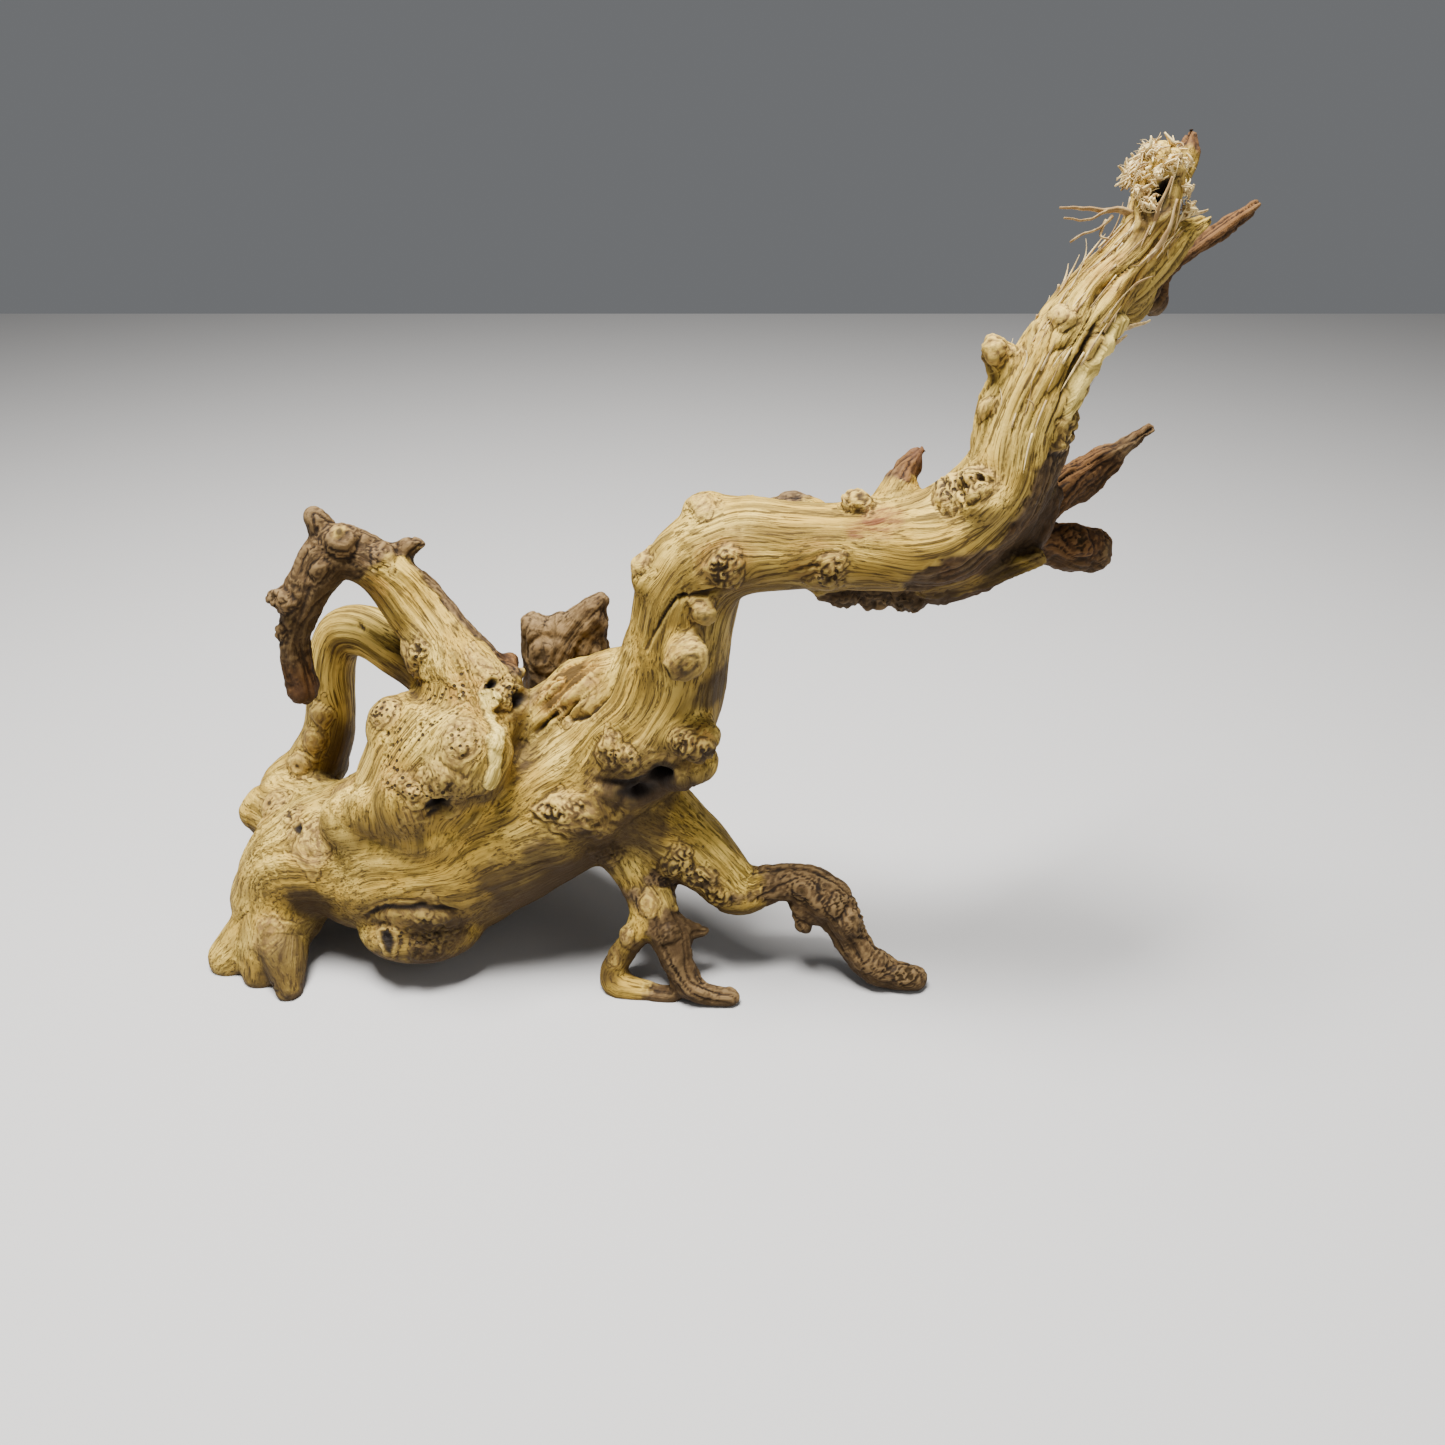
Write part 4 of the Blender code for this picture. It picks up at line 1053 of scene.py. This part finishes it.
class Surface:
    # builds a node tree from plain calls
    def __init__(self, name):
        self.look = bpy.data.materials.new(name)
        self.look.use_nodes = True
        self.tree = self.look.node_tree
        self.shader = self.tree.nodes["Principled BSDF"]

    def put(self, socket, value):
        if isinstance(value, bpy.types.NodeSocket):
            self.tree.links.new(value, socket)
        else:
            socket.default_value = value

    def mark(self, name):
        node = self.tree.nodes.new("ShaderNodeAttribute")
        node.attribute_name = name
        return node.outputs["Vector"] if name.startswith("grain") else node.outputs["Fac"]

    def times(self, mark, amount):
        return self.math("MULTIPLY", self.mark(mark), amount)

    def place(self):
        return self.tree.nodes.new("ShaderNodeTexCoord").outputs["Object"]

    def scaled(self, vector, amounts):
        node = self.tree.nodes.new("ShaderNodeVectorMath")
        node.operation = "MULTIPLY"
        self.put(node.inputs[0], vector)
        self.put(node.inputs[1], amounts)
        return node.outputs[0]

    def noise(self, vector, scale, detail, roughness=0.55):
        node = self.tree.nodes.new("ShaderNodeTexNoise")
        self.put(node.inputs["Vector"], vector)
        self.put(node.inputs["Scale"], scale)
        self.put(node.inputs["Detail"], detail)
        self.put(node.inputs["Roughness"], roughness)
        return node.outputs["Fac"]

    def math(self, operation, first, second=0.0):
        node = self.tree.nodes.new("ShaderNodeMath")
        node.operation = operation
        self.put(node.inputs[0], first)
        self.put(node.inputs[1], second)
        return node.outputs[0]

    def fit(self, value, low, high, newLow=0.0, newHigh=1.0):
        node = self.tree.nodes.new("ShaderNodeMapRange")
        node.interpolation_type = "SMOOTHSTEP"
        self.put(node.inputs["Value"], value)
        for name, number in (("From Min", low), ("From Max", high),
                             ("To Min", newLow), ("To Max", newHigh)):
            self.put(node.inputs[name], number)
        return node.outputs["Result"]

    def spots(self, vector, scale):
        # distance to the nearest of scattered points, in cells
        node = self.tree.nodes.new("ShaderNodeTexVoronoi")
        self.put(node.inputs["Vector"], vector)
        self.put(node.inputs["Scale"], scale)
        return node.outputs["Distance"]

    def mix(self, share, first, second, blend="MIX"):
        node = self.tree.nodes.new("ShaderNodeMix")
        node.data_type = "RGBA"
        node.blend_type = blend
        self.put(node.inputs[0], share)
        self.put(node.inputs[6], first)
        self.put(node.inputs[7], second)
        return node.outputs[2]

    def mixNumbers(self, share, first, second):
        node = self.tree.nodes.new("ShaderNodeMix")
        self.put(node.inputs[0], share)
        self.put(node.inputs[2], first)
        self.put(node.inputs[3], second)
        return node.outputs[0]


def bareWood(make, grain, patch, speck):
    # straw and cream in soft patches, browned where warm, darkened along the
    # broad, streak and fine grain noise, ringed at knots, pale on worn edges,
    # with painted shade in fine creases and in valleys
    wearAndCreaseShade = make.mark("wearAndCreaseShade")
    colour = make.mix(make.fit(patch, 0.4, 0.68), woodColours["straw"], woodColours["cream"])
    colour = make.mix(make.fit(grain["broad"], 0.45, 0.66, 0, 0.8), colour, woodColours["olive"])
    colour = make.mix(make.times("pale", 0.7), colour, woodColours["cream"])
    colour = make.mix(make.times("warm", make.fit(patch, 0.3, 0.6, 0.3, 0.8)), colour,
                      woodColours["warm"])
    colour = make.mix(make.fit(grain["streak"], 0.47, 0.61, 0, 0.92), colour, woodColours["olive"])
    colour = make.mix(make.fit(grain["fine"], 0.51, 0.61, 0, 0.88), colour, woodColours["line"])
    colour = make.mix(make.times("red", make.fit(grain["streak"], 0.35, 0.6, 0.25, 1.0)), colour,
                      woodColours["red"])
    colour = make.mix(make.times("knot", make.fit(speck, 0.3, 0.7, 0.2, 0.7)), colour,
                      woodColours["knot"])
    rings = make.math("SINE", make.times("ring", 15.0))
    colour = make.mix(make.times("knot", make.fit(rings, 0.2, 0.95, 0, 0.4)), colour,
                      woodColours["line"])
    colour = make.mix(make.fit(wearAndCreaseShade, 0.55, 0.95, 0, 0.45), colour, woodColours["cream"])
    # painted shade: broad valleys darkened to olive
    colour = make.mix(make.fit(make.mark("valleyShade"), 0.55, 0.95, 0, 0.75), colour,
                      woodColours["olive"])
    # painted shade: fine creases darkened towards the line colour
    return make.mix(make.fit(wearAndCreaseShade, 0.42, 0.05, 0, 0.85), colour, woodColours["line"])


def barkSkin(make, grain):
    # dark, middle and pale brown by a mix of stripes and lumpy noise, paler on
    # worn edges, painted shade black in the furrows, reddened by the ruddy mark
    wearAndCreaseShade = make.mark("wearAndCreaseShade")
    tone = make.mixNumbers(0.45, grain["stripe"], make.noise(make.place(), 150.0, 6, 0.65))
    colour = make.mix(make.fit(tone, 0.36, 0.56), woodColours["barkDark"], woodColours["barkMid"])
    colour = make.mix(make.fit(tone, 0.54, 0.7, 0, 0.8), colour, woodColours["barkPale"])
    colour = make.mix(make.fit(wearAndCreaseShade, 0.5, 0.9, 0, 0.55), colour, woodColours["barkPale"])
    # painted shade: bark furrows near black
    colour = make.mix(make.fit(wearAndCreaseShade, 0.45, 0.1, 0, 0.85), colour, woodColours["hole"])
    colour = make.mix(make.times("pale", make.fit(tone, 0.4, 0.6)), colour, woodColours["barkPale"])
    return make.mix(make.mark("ruddy"), colour,
                    make.mix(1.0, colour, woodColours["ruddy"], "MULTIPLY"))


def stainedAndShaded(make, colour, patch):
    # umber where the dark mark lies: partly dark wood, partly painted shade in
    # hollows, under the trunk and on the feet; painted shade in umber on what faces
    # down or is shut in by nearby wood, less so where the pale mark lies
    # dark mark: partly dark wood, partly painted shade in hollows and on the feet
    colour = make.mix(make.times("dark", make.fit(patch, 0.3, 0.7, 0.92, 0.7)), colour,
                      woodColours["umber"])
    # painted shade: down-facing faces and points shut in by nearby wood
    shade = make.math("MAXIMUM", make.times("under", 0.9),
                      make.fit(make.mark("occlusionShade"), 0.18, 0.7, 0, 0.85))
    shade = make.math("MULTIPLY", shade, make.fit(make.mark("pale"), 0, 1, 1, 0.3))
    return make.mix(shade, colour, woodColours["umber"])


def woodLook(name):
    # colour: bare wood, bark over it by the bark mark, cut ends, shreds of the
    # torn patch, stains and painted shade, pale flakes, then black dots and pits, and painted shade
    # in cracks and holes.
    # bump: 0.7 fine + 0.9 streak + 0.35 speck - 1.2 dot
    make = Surface(name)
    share = make.mark("share")

    def grainNoise(along, across, detail, roughness):
        both = [make.noise(make.scaled(make.mark(part), (along, across, across)), 1.0,
                           detail, roughness) for part in ("grainB", "grainA")]
        return make.mixNumbers(share, both[0], both[1])

    grain = {kind: grainNoise(*scales) for kind, scales in woodGrain.items()}
    patch = make.noise(make.place(), 34.0, 5, 0.6)
    speck = make.noise(make.place(), 420.0, 4, 0.6)
    shred = make.mark("shred")
    colour = make.mix(make.mark("bark"), bareWood(make, grain, patch, speck), barkSkin(make, grain))
    colour = make.mix(make.times("end", 0.5), colour, woodColours["end"])
    colour = make.mix(make.times("torn", make.fit(shred, 0.62, 0.4, 0, 0.85)), colour,
                      woodColours["warm"])
    colour = make.mix(make.times("torn", make.fit(shred, 0.5, 0.38, 0, 0.9)), colour,
                      woodColours["line"])
    colour = stainedAndShaded(make, colour, patch)
    flake = make.mix(make.fit(grain["fine"], 0.45, 0.6, 0, 0.7), woodColours["flake"],
                     woodColours["olive"])
    colour = make.mix(make.mark("flake"), colour, flake)
    black = make.mix(0.5, woodColours["line"], woodColours["hole"])
    dot = make.times("dots", make.fit(make.spots(make.place(), dotsPerMetre), 0.36, 0.24))
    colour = make.mix(dot, colour, black)
    colour = make.mix(make.fit(make.mark("pits"), 0.05, 0.8, 0, 0.95), colour, black)
    # painted shade: near black in cracks and knot holes
    colour = make.mix(make.fit(make.mark("crack"), 0.85, 0.2, 0, 0.92), colour,
                      woodColours["hole"])
    colour = make.mix(make.mark("hole"), colour, woodColours["hole"])
    make.put(make.shader.inputs["Base Color"], colour)
    make.put(make.shader.inputs["Roughness"], make.fit(grain["fine"], 0.3, 0.7, 0.62, 0.86))
    make.put(make.shader.inputs["Specular IOR Level"], woodGloss[name])
    height = make.math("ADD", make.math("MULTIPLY", grain["fine"], 0.7),
                       make.math("MULTIPLY", grain["streak"], 0.9))
    height = make.math("ADD", height, make.math("MULTIPLY", speck, 0.35))
    height = make.math("SUBTRACT", height, make.math("MULTIPLY", dot, 1.2))
    bump = make.tree.nodes.new("ShaderNodeBump")
    make.put(bump.inputs["Strength"], woodBump["strength"])
    make.put(bump.inputs["Distance"], woodBump["distance"])
    make.put(bump.inputs["Height"], height)
    make.put(make.shader.inputs["Normal"], bump.outputs["Normal"])
    return make.look


def addLimbs():
    # each island becomes the piece whose inner point lies closest to it
    groups = partAtForks(wood.data)
    everyPoint = pointsOf(wood.data)
    looks = {slot: woodLook(slot) for slot in woodGloss}
    for name, (slot, inside) in limbPieces.items():
        target = np.array(inside) - boxMiddle
        closest = [np.linalg.norm(everyPoint[group] - target, axis=1).min() for group in groups]
        piece = takePiece(wood.data, name + "_look", groups[int(np.argmin(closest))], looks[slot])
        triangles = len(piece.data.loops) - 2 * len(piece.data.polygons)
        if triangles > skin["pieceLimit"]:
            thinner = piece.modifiers.new("thinner", "DECIMATE")
            thinner.ratio = skin["pieceLimit"] / triangles
            piece.data = applied(piece)
        facing = np.empty(len(piece.data.vertices) * 3, dtype=np.float32)
        piece.data.attributes["facing"].data.foreach_get("vector", facing)
        piece.data.normals_split_custom_set_from_vertices(facing.reshape(-1, 3).tolist())
        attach(piece, "root")
        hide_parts(name)
        print(piece.name, len(piece.data.polygons), "faces")


storeMarks(wood.data)
addLimbs()
bpy.data.objects.remove(wood)


# Frayed fibres and splinters

fray = {
    "tuftFibres": 1000,
    "tuftWidths": (0.14, 0.36),
    "tuftLengths": (2.5, 7),
    "tuftTop": 327.3,         # nothing stands above this height
    "broadShreds": 3.2,       # how much wider half of the tuft's shreds are
    "armFibres": 190,
    "armWidths": (0.15, 0.45),
    "armLengths": (5, 14),
    "armTaper": (1, 1, 1, 0.9, 0.7, 0.45, 0.15),
    "pale": (0.76, 0.58, 0.25, 1),
    "tan": (0.28, 0.165, 0.055, 1),
}
clumps = [    # where the torn tip has most shreds: middle and radius
    ((157.5, -26, 320.5), 3.6), ((163, -25, 320.5), 3.4), ((156, -27, 315.5), 2.8),
    ((168, -25, 317), 2.4), ((155, -29, 310.5), 2.2), ((157, -32, 307.5), 2.2),
    ((169, -28, 311), 2.0), ((173, -25, 305.5), 1.8), ((161, -16, 318.5), 4.0),
    ((155, -19, 314), 3.2), ((168, -18, 311), 2.8), ((159, -31, 315.5), 2.0),
    ((163, -31, 318.5), 2.2), ((162, -15, 309), 3.0),
]
splinters = [    # route with radius at each point: torn slivers standing off the arm
    [(157, -27, 303, 1.7), (150, -28, 305.5, 1.2), (145, -29, 305, 0.9), (138, -30, 306, 0.7),
     (131, -31, 306.5, 0.35)],
    [(146, -29, 305, 0.7), (142, -31, 303.5, 0.5), (136, -33, 303, 0.4), (132, -34, 303.5, 0.2)],
    [(148, -29, 304, 0.6), (144, -31, 300.5, 0.5), (139, -33, 299.5, 0.4), (135, -34, 297, 0.2)],
    [(146, -30, 303, 0.5), (144.5, -31, 298.5, 0.4), (147, -33, 297.5, 0.2)],
    [(138, -34, 268, 2.6), (147, -37, 272, 2.0), (156, -36, 272, 1.2), (164, -34, 274, 0.4)],
    [(142, -38, 262, 2.2), (150, -39, 267, 1.4), (156, -38, 270, 0.3)],
    [(142, -34, 246, 1.4), (147, -34, 251, 0.9), (148, -33, 255, 0.3)],
    [(140, -36, 236, 1.2), (144.5, -36, 240, 0.8), (145, -35, 244, 0.3)],
    [(137, -28, 276, 1.4), (134.5, -29, 280, 0.9), (134.5, -30, 284, 0.25)],
    [(141, -28, 283, 1.0), (139.5, -29, 287, 0.6), (141, -30, 290, 0.2)],
    [(131, -30, 268, 1.3), (128.5, -31, 272, 0.8), (128.5, -32, 275.5, 0.25)],
    [(164, -26, 298, 1.8), (171, -25, 303, 1.3), (179, -24, 305, 0.4)],
    [(158, -34, 290, 0.9), (163, -36, 299, 0.7), (165, -35, 309, 0.25)],
    [(160, -33, 302, 0.7), (160, -35, 308, 0.5), (162.5, -35, 315, 0.2)],
]


def strandMesh(name, paths, widths, tones, sides=5, flat=0.45):
    # closed thin strands, each a flattened ring carried along its path: paths
    # is (strand, point, xyz), widths is (strand, point)
    ahead = np.gradient(paths, axis=1)
    ahead = ahead / np.maximum(np.linalg.norm(ahead, axis=2, keepdims=True), 1e-9)
    side = np.cross(ahead, np.array((0.31, 0.83, 0.46)))
    side = side / np.maximum(np.linalg.norm(side, axis=2, keepdims=True), 1e-9)
    across = np.cross(ahead, side)
    turn = np.arange(sides) * 2 * math.pi / sides
    ring = side[:, :, None] * np.cos(turn)[None, None, :, None]
    ring = ring + flat * across[:, :, None] * np.sin(turn)[None, None, :, None]
    points = paths[:, :, None] + ring * widths[:, :, None, None]
    strands, rows = paths.shape[:2]
    first = np.arange(strands)[:, None, None] * rows * sides
    k = np.arange(rows - 1)[None, :, None] * sides
    j = np.arange(sides)[None, None, :]
    n = (j + 1) % sides
    quads = np.stack((first + k + j, first + k + n, first + k + sides + n,
                      first + k + sides + j), axis=-1).reshape(-1, 4)
    start = (np.arange(strands)[:, None] * rows * sides + np.arange(sides)[::-1]).tolist()
    end = (np.arange(strands)[:, None] * rows * sides + (rows - 1) * sides
           + np.arange(sides)).tolist()
    made = bpy.data.meshes.new(name)
    made.from_pydata(((points.reshape(-1, 3) - boxMiddle) * mm).tolist(), [],
                     quads.tolist() + start + end)
    tone = made.attributes.new("tone", "FLOAT", "POINT")
    shades = np.random.default_rng(5).uniform(*tones, strands)
    tone.data.foreach_set("value", np.repeat(shades, rows * sides).astype(np.float32))
    for polygon in made.polygons:
        polygon.use_smooth = True
    return made


def tuftPaths(count, rows, random):
    # shreds that start inside a clump, curl about its middle and stray from it
    middles = np.array([centre for centre, radius in clumps], dtype=float)
    radii = np.array([radius for centre, radius in clumps])
    pick = random.choice(len(clumps), count, p=radii ** 2 / (radii ** 2).sum())
    out = random.normal(0, 1, (count, 3))
    out /= np.linalg.norm(out, axis=1)[:, None]
    heading = np.cross(out, random.normal(0, 1, (count, 3)))
    heading /= np.linalg.norm(heading, axis=1)[:, None]
    heading += out * random.uniform(0.0, 0.3, count)[:, None]
    curl = random.normal(0, 0.2, (count, 3))
    paths = np.empty((count, rows, 3))
    paths[:, 0] = middles[pick] + out * (radii[pick] * random.uniform(0.3, 0.9, count))[:, None]
    length = random.uniform(*fray["tuftLengths"], count)[:, None] / rows
    for row in range(1, rows):
        inward = (middles[pick] - paths[:, row - 1]) / radii[pick, None] ** 2 * 0.8
        heading = heading + curl + inward + random.normal(0, 0.1, (count, 3))
        heading /= np.linalg.norm(heading, axis=1)[:, None]
        paths[:, row] = paths[:, row - 1] + heading * length
    paths[:, :, 2] = np.minimum(paths[:, :, 2], fray["tuftTop"])
    return paths


def liftedPaths(count, rows, random):
    # fibres that lie along the arm and rise at one end by lift * t^2
    path = curveThrough([station[:4] for station in trunk["stem"][-9:]], 2.0)
    ahead, sides, across = sideFrames(path)
    pick = random.choice(np.flatnonzero(path[:-4, 2] > 236), count)
    turn = random.uniform(0, 2 * math.pi, count)
    out = sides[pick] * np.cos(turn)[:, None] + across[pick] * np.sin(turn)[:, None]
    t = np.linspace(0, 1, rows)[None, :, None]
    length = random.uniform(*fray["armLengths"], count)[:, None, None]
    lift = random.uniform(-0.3, 1.1, count)[:, None, None]
    way = ahead[pick][:, None] * np.where(random.random(count) < 0.7, 1, -1)[:, None, None]
    bow = random.normal(0, 0.6, (count, 1, 3))
    radius = path[pick, 3][:, None, None]
    return (path[pick, :3][:, None] + out[:, None] * (radius - 0.2 + lift * t ** 2)
            + way * length * t + bow * t ** 2 * 2)


def fibreLook():
    # colour: pale cream to tan by strand, with fine lengthwise noise
    make = Surface("torn_fibre")
    streak = make.noise(make.scaled(make.place(), (500, 500, 160)), 1.0, 4)
    tone = make.math("ADD", make.mark("tone"), make.fit(streak, 0.35, 0.65, -0.25, 0.25))
    colour = make.mix(make.fit(tone, 0.0, 1.0), fray["pale"], fray["tan"])
    make.put(make.shader.inputs["Base Color"], colour)
    make.put(make.shader.inputs["Roughness"], 0.75)
    return make.look


def addFray():
    # the tuft on the tip, loose fibres along the arm, and torn splinters
    random = np.random.default_rng(23)
    look = fibreLook()
    tuft = tuftPaths(fray["tuftFibres"], 10, random)
    tuftWidths = random.uniform(*fray["tuftWidths"], len(tuft))
    tuftWidths[: len(tuft) // 2] *= fray["broadShreds"]
    tuftWidths = tuftWidths[:, None] * np.linspace(1, 0.25, 10)[None, :]
    loose = liftedPaths(fray["armFibres"], 7, random)
    looseWidths = random.uniform(*fray["armWidths"], len(loose))[:, None] * (
        np.array(fray["armTaper"])[None, :])
    slivers = []
    for stations in splinters:
        path = curveThrough(stations, 0.6)
        pick = np.linspace(0, len(path) - 1, 16).round().astype(int)
        slivers.append(path[pick])
    slivers = np.array(slivers)
    places = slivers[:, :, :3].reshape(-1, 3) / 3.0
    wobble = np.stack([latticeNoise(places, 61 + k) for k in range(3)], axis=-1)
    slivers[:, :, :3] += 0.4 * wobble.reshape(len(slivers), -1, 3)
    meshes = {
        "tip_fibres": strandMesh("tip_fibres", tuft, tuftWidths, (0, 0.6), 4, 0.3),
        "arm_fibres": strandMesh("arm_fibres", loose, looseWidths, (0.1, 0.9)),
        "arm_splinters": strandMesh("arm_splinters", slivers[:, :, :3], slivers[:, :, 3],
                                    (0.6, 1), 6, 0.5),
    }
    for name, mesh in meshes.items():
        mesh.materials.append(look)
        piece = bpy.data.objects.new(name, mesh)
        bpy.context.scene.collection.objects.link(piece)
        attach(piece, "root")


addFray()
print("fibres added")


# Floor, light and camera

room = {
    "floorColour": (0.52, 0.505, 0.49, 1),
    "floorHalf": 1.6,
    "lights": {    # place, what it looks at, watts and width
        "key": ((-0.12, -0.1, 1.2), (0, 0, 0.1), 50.0, 0.45),
        "fill": ((0.9, -0.5, 0.6), (0, 0, 0.12), 2.2, 0.8),
    },
    "skyColour": (0.93, 0.96, 1.0, 1),
    "sky": 0.17,
    "eyePlace": (0.0253, -0.3957, 0.337),
    "eyeTilt": 59.7,    # degrees up from straight down
    "eyeLens": 26.93,
}


def buildRoom():
    # a pale floor, a wide soft light from above, a weaker one from the side,
    # and the camera at the height and tilt of the photograph
    scene = bpy.context.scene
    half = room["floorHalf"]
    ground = bpy.data.meshes.new("floor")
    ground.from_pydata([(-half, -half, 0), (half, -half, 0), (half, half, 0), (-half, half, 0)],
                       [], [(0, 1, 2, 3)])
    look = bpy.data.materials.new("floor")
    look.use_nodes = True
    shader = look.node_tree.nodes["Principled BSDF"]
    shader.inputs["Base Color"].default_value = room["floorColour"]
    shader.inputs["Roughness"].default_value = 0.9
    ground.materials.append(look)
    floor = bpy.data.objects.new("floor", ground)
    scene.collection.objects.link(floor)
    for name, (place, aim, watts, width) in room["lights"].items():
        light = bpy.data.lights.new(name, "AREA")
        light.energy = watts
        light.size = width
        lamp = bpy.data.objects.new(name, light)
        lamp.location = place
        lamp.rotation_euler = (Vector(aim) - Vector(place)).to_track_quat("-Z", "Y").to_euler()
        scene.collection.objects.link(lamp)
    scene.world = bpy.data.worlds.new("sky")
    scene.world.use_nodes = True
    background = scene.world.node_tree.nodes["Background"]
    background.inputs["Color"].default_value = room["skyColour"]
    background.inputs["Strength"].default_value = room["sky"]
    eye = bpy.data.cameras.new("eye")
    eye.sensor_width = 36
    eye.lens = room["eyeLens"]
    eye.clip_start = 0.01
    camera = bpy.data.objects.new("eye", eye)
    camera.location = room["eyePlace"]
    camera.rotation_euler = (math.radians(room["eyeTilt"]), 0, 0)
    scene.collection.objects.link(camera)
    scene.camera = camera


buildRoom()
print("room built")
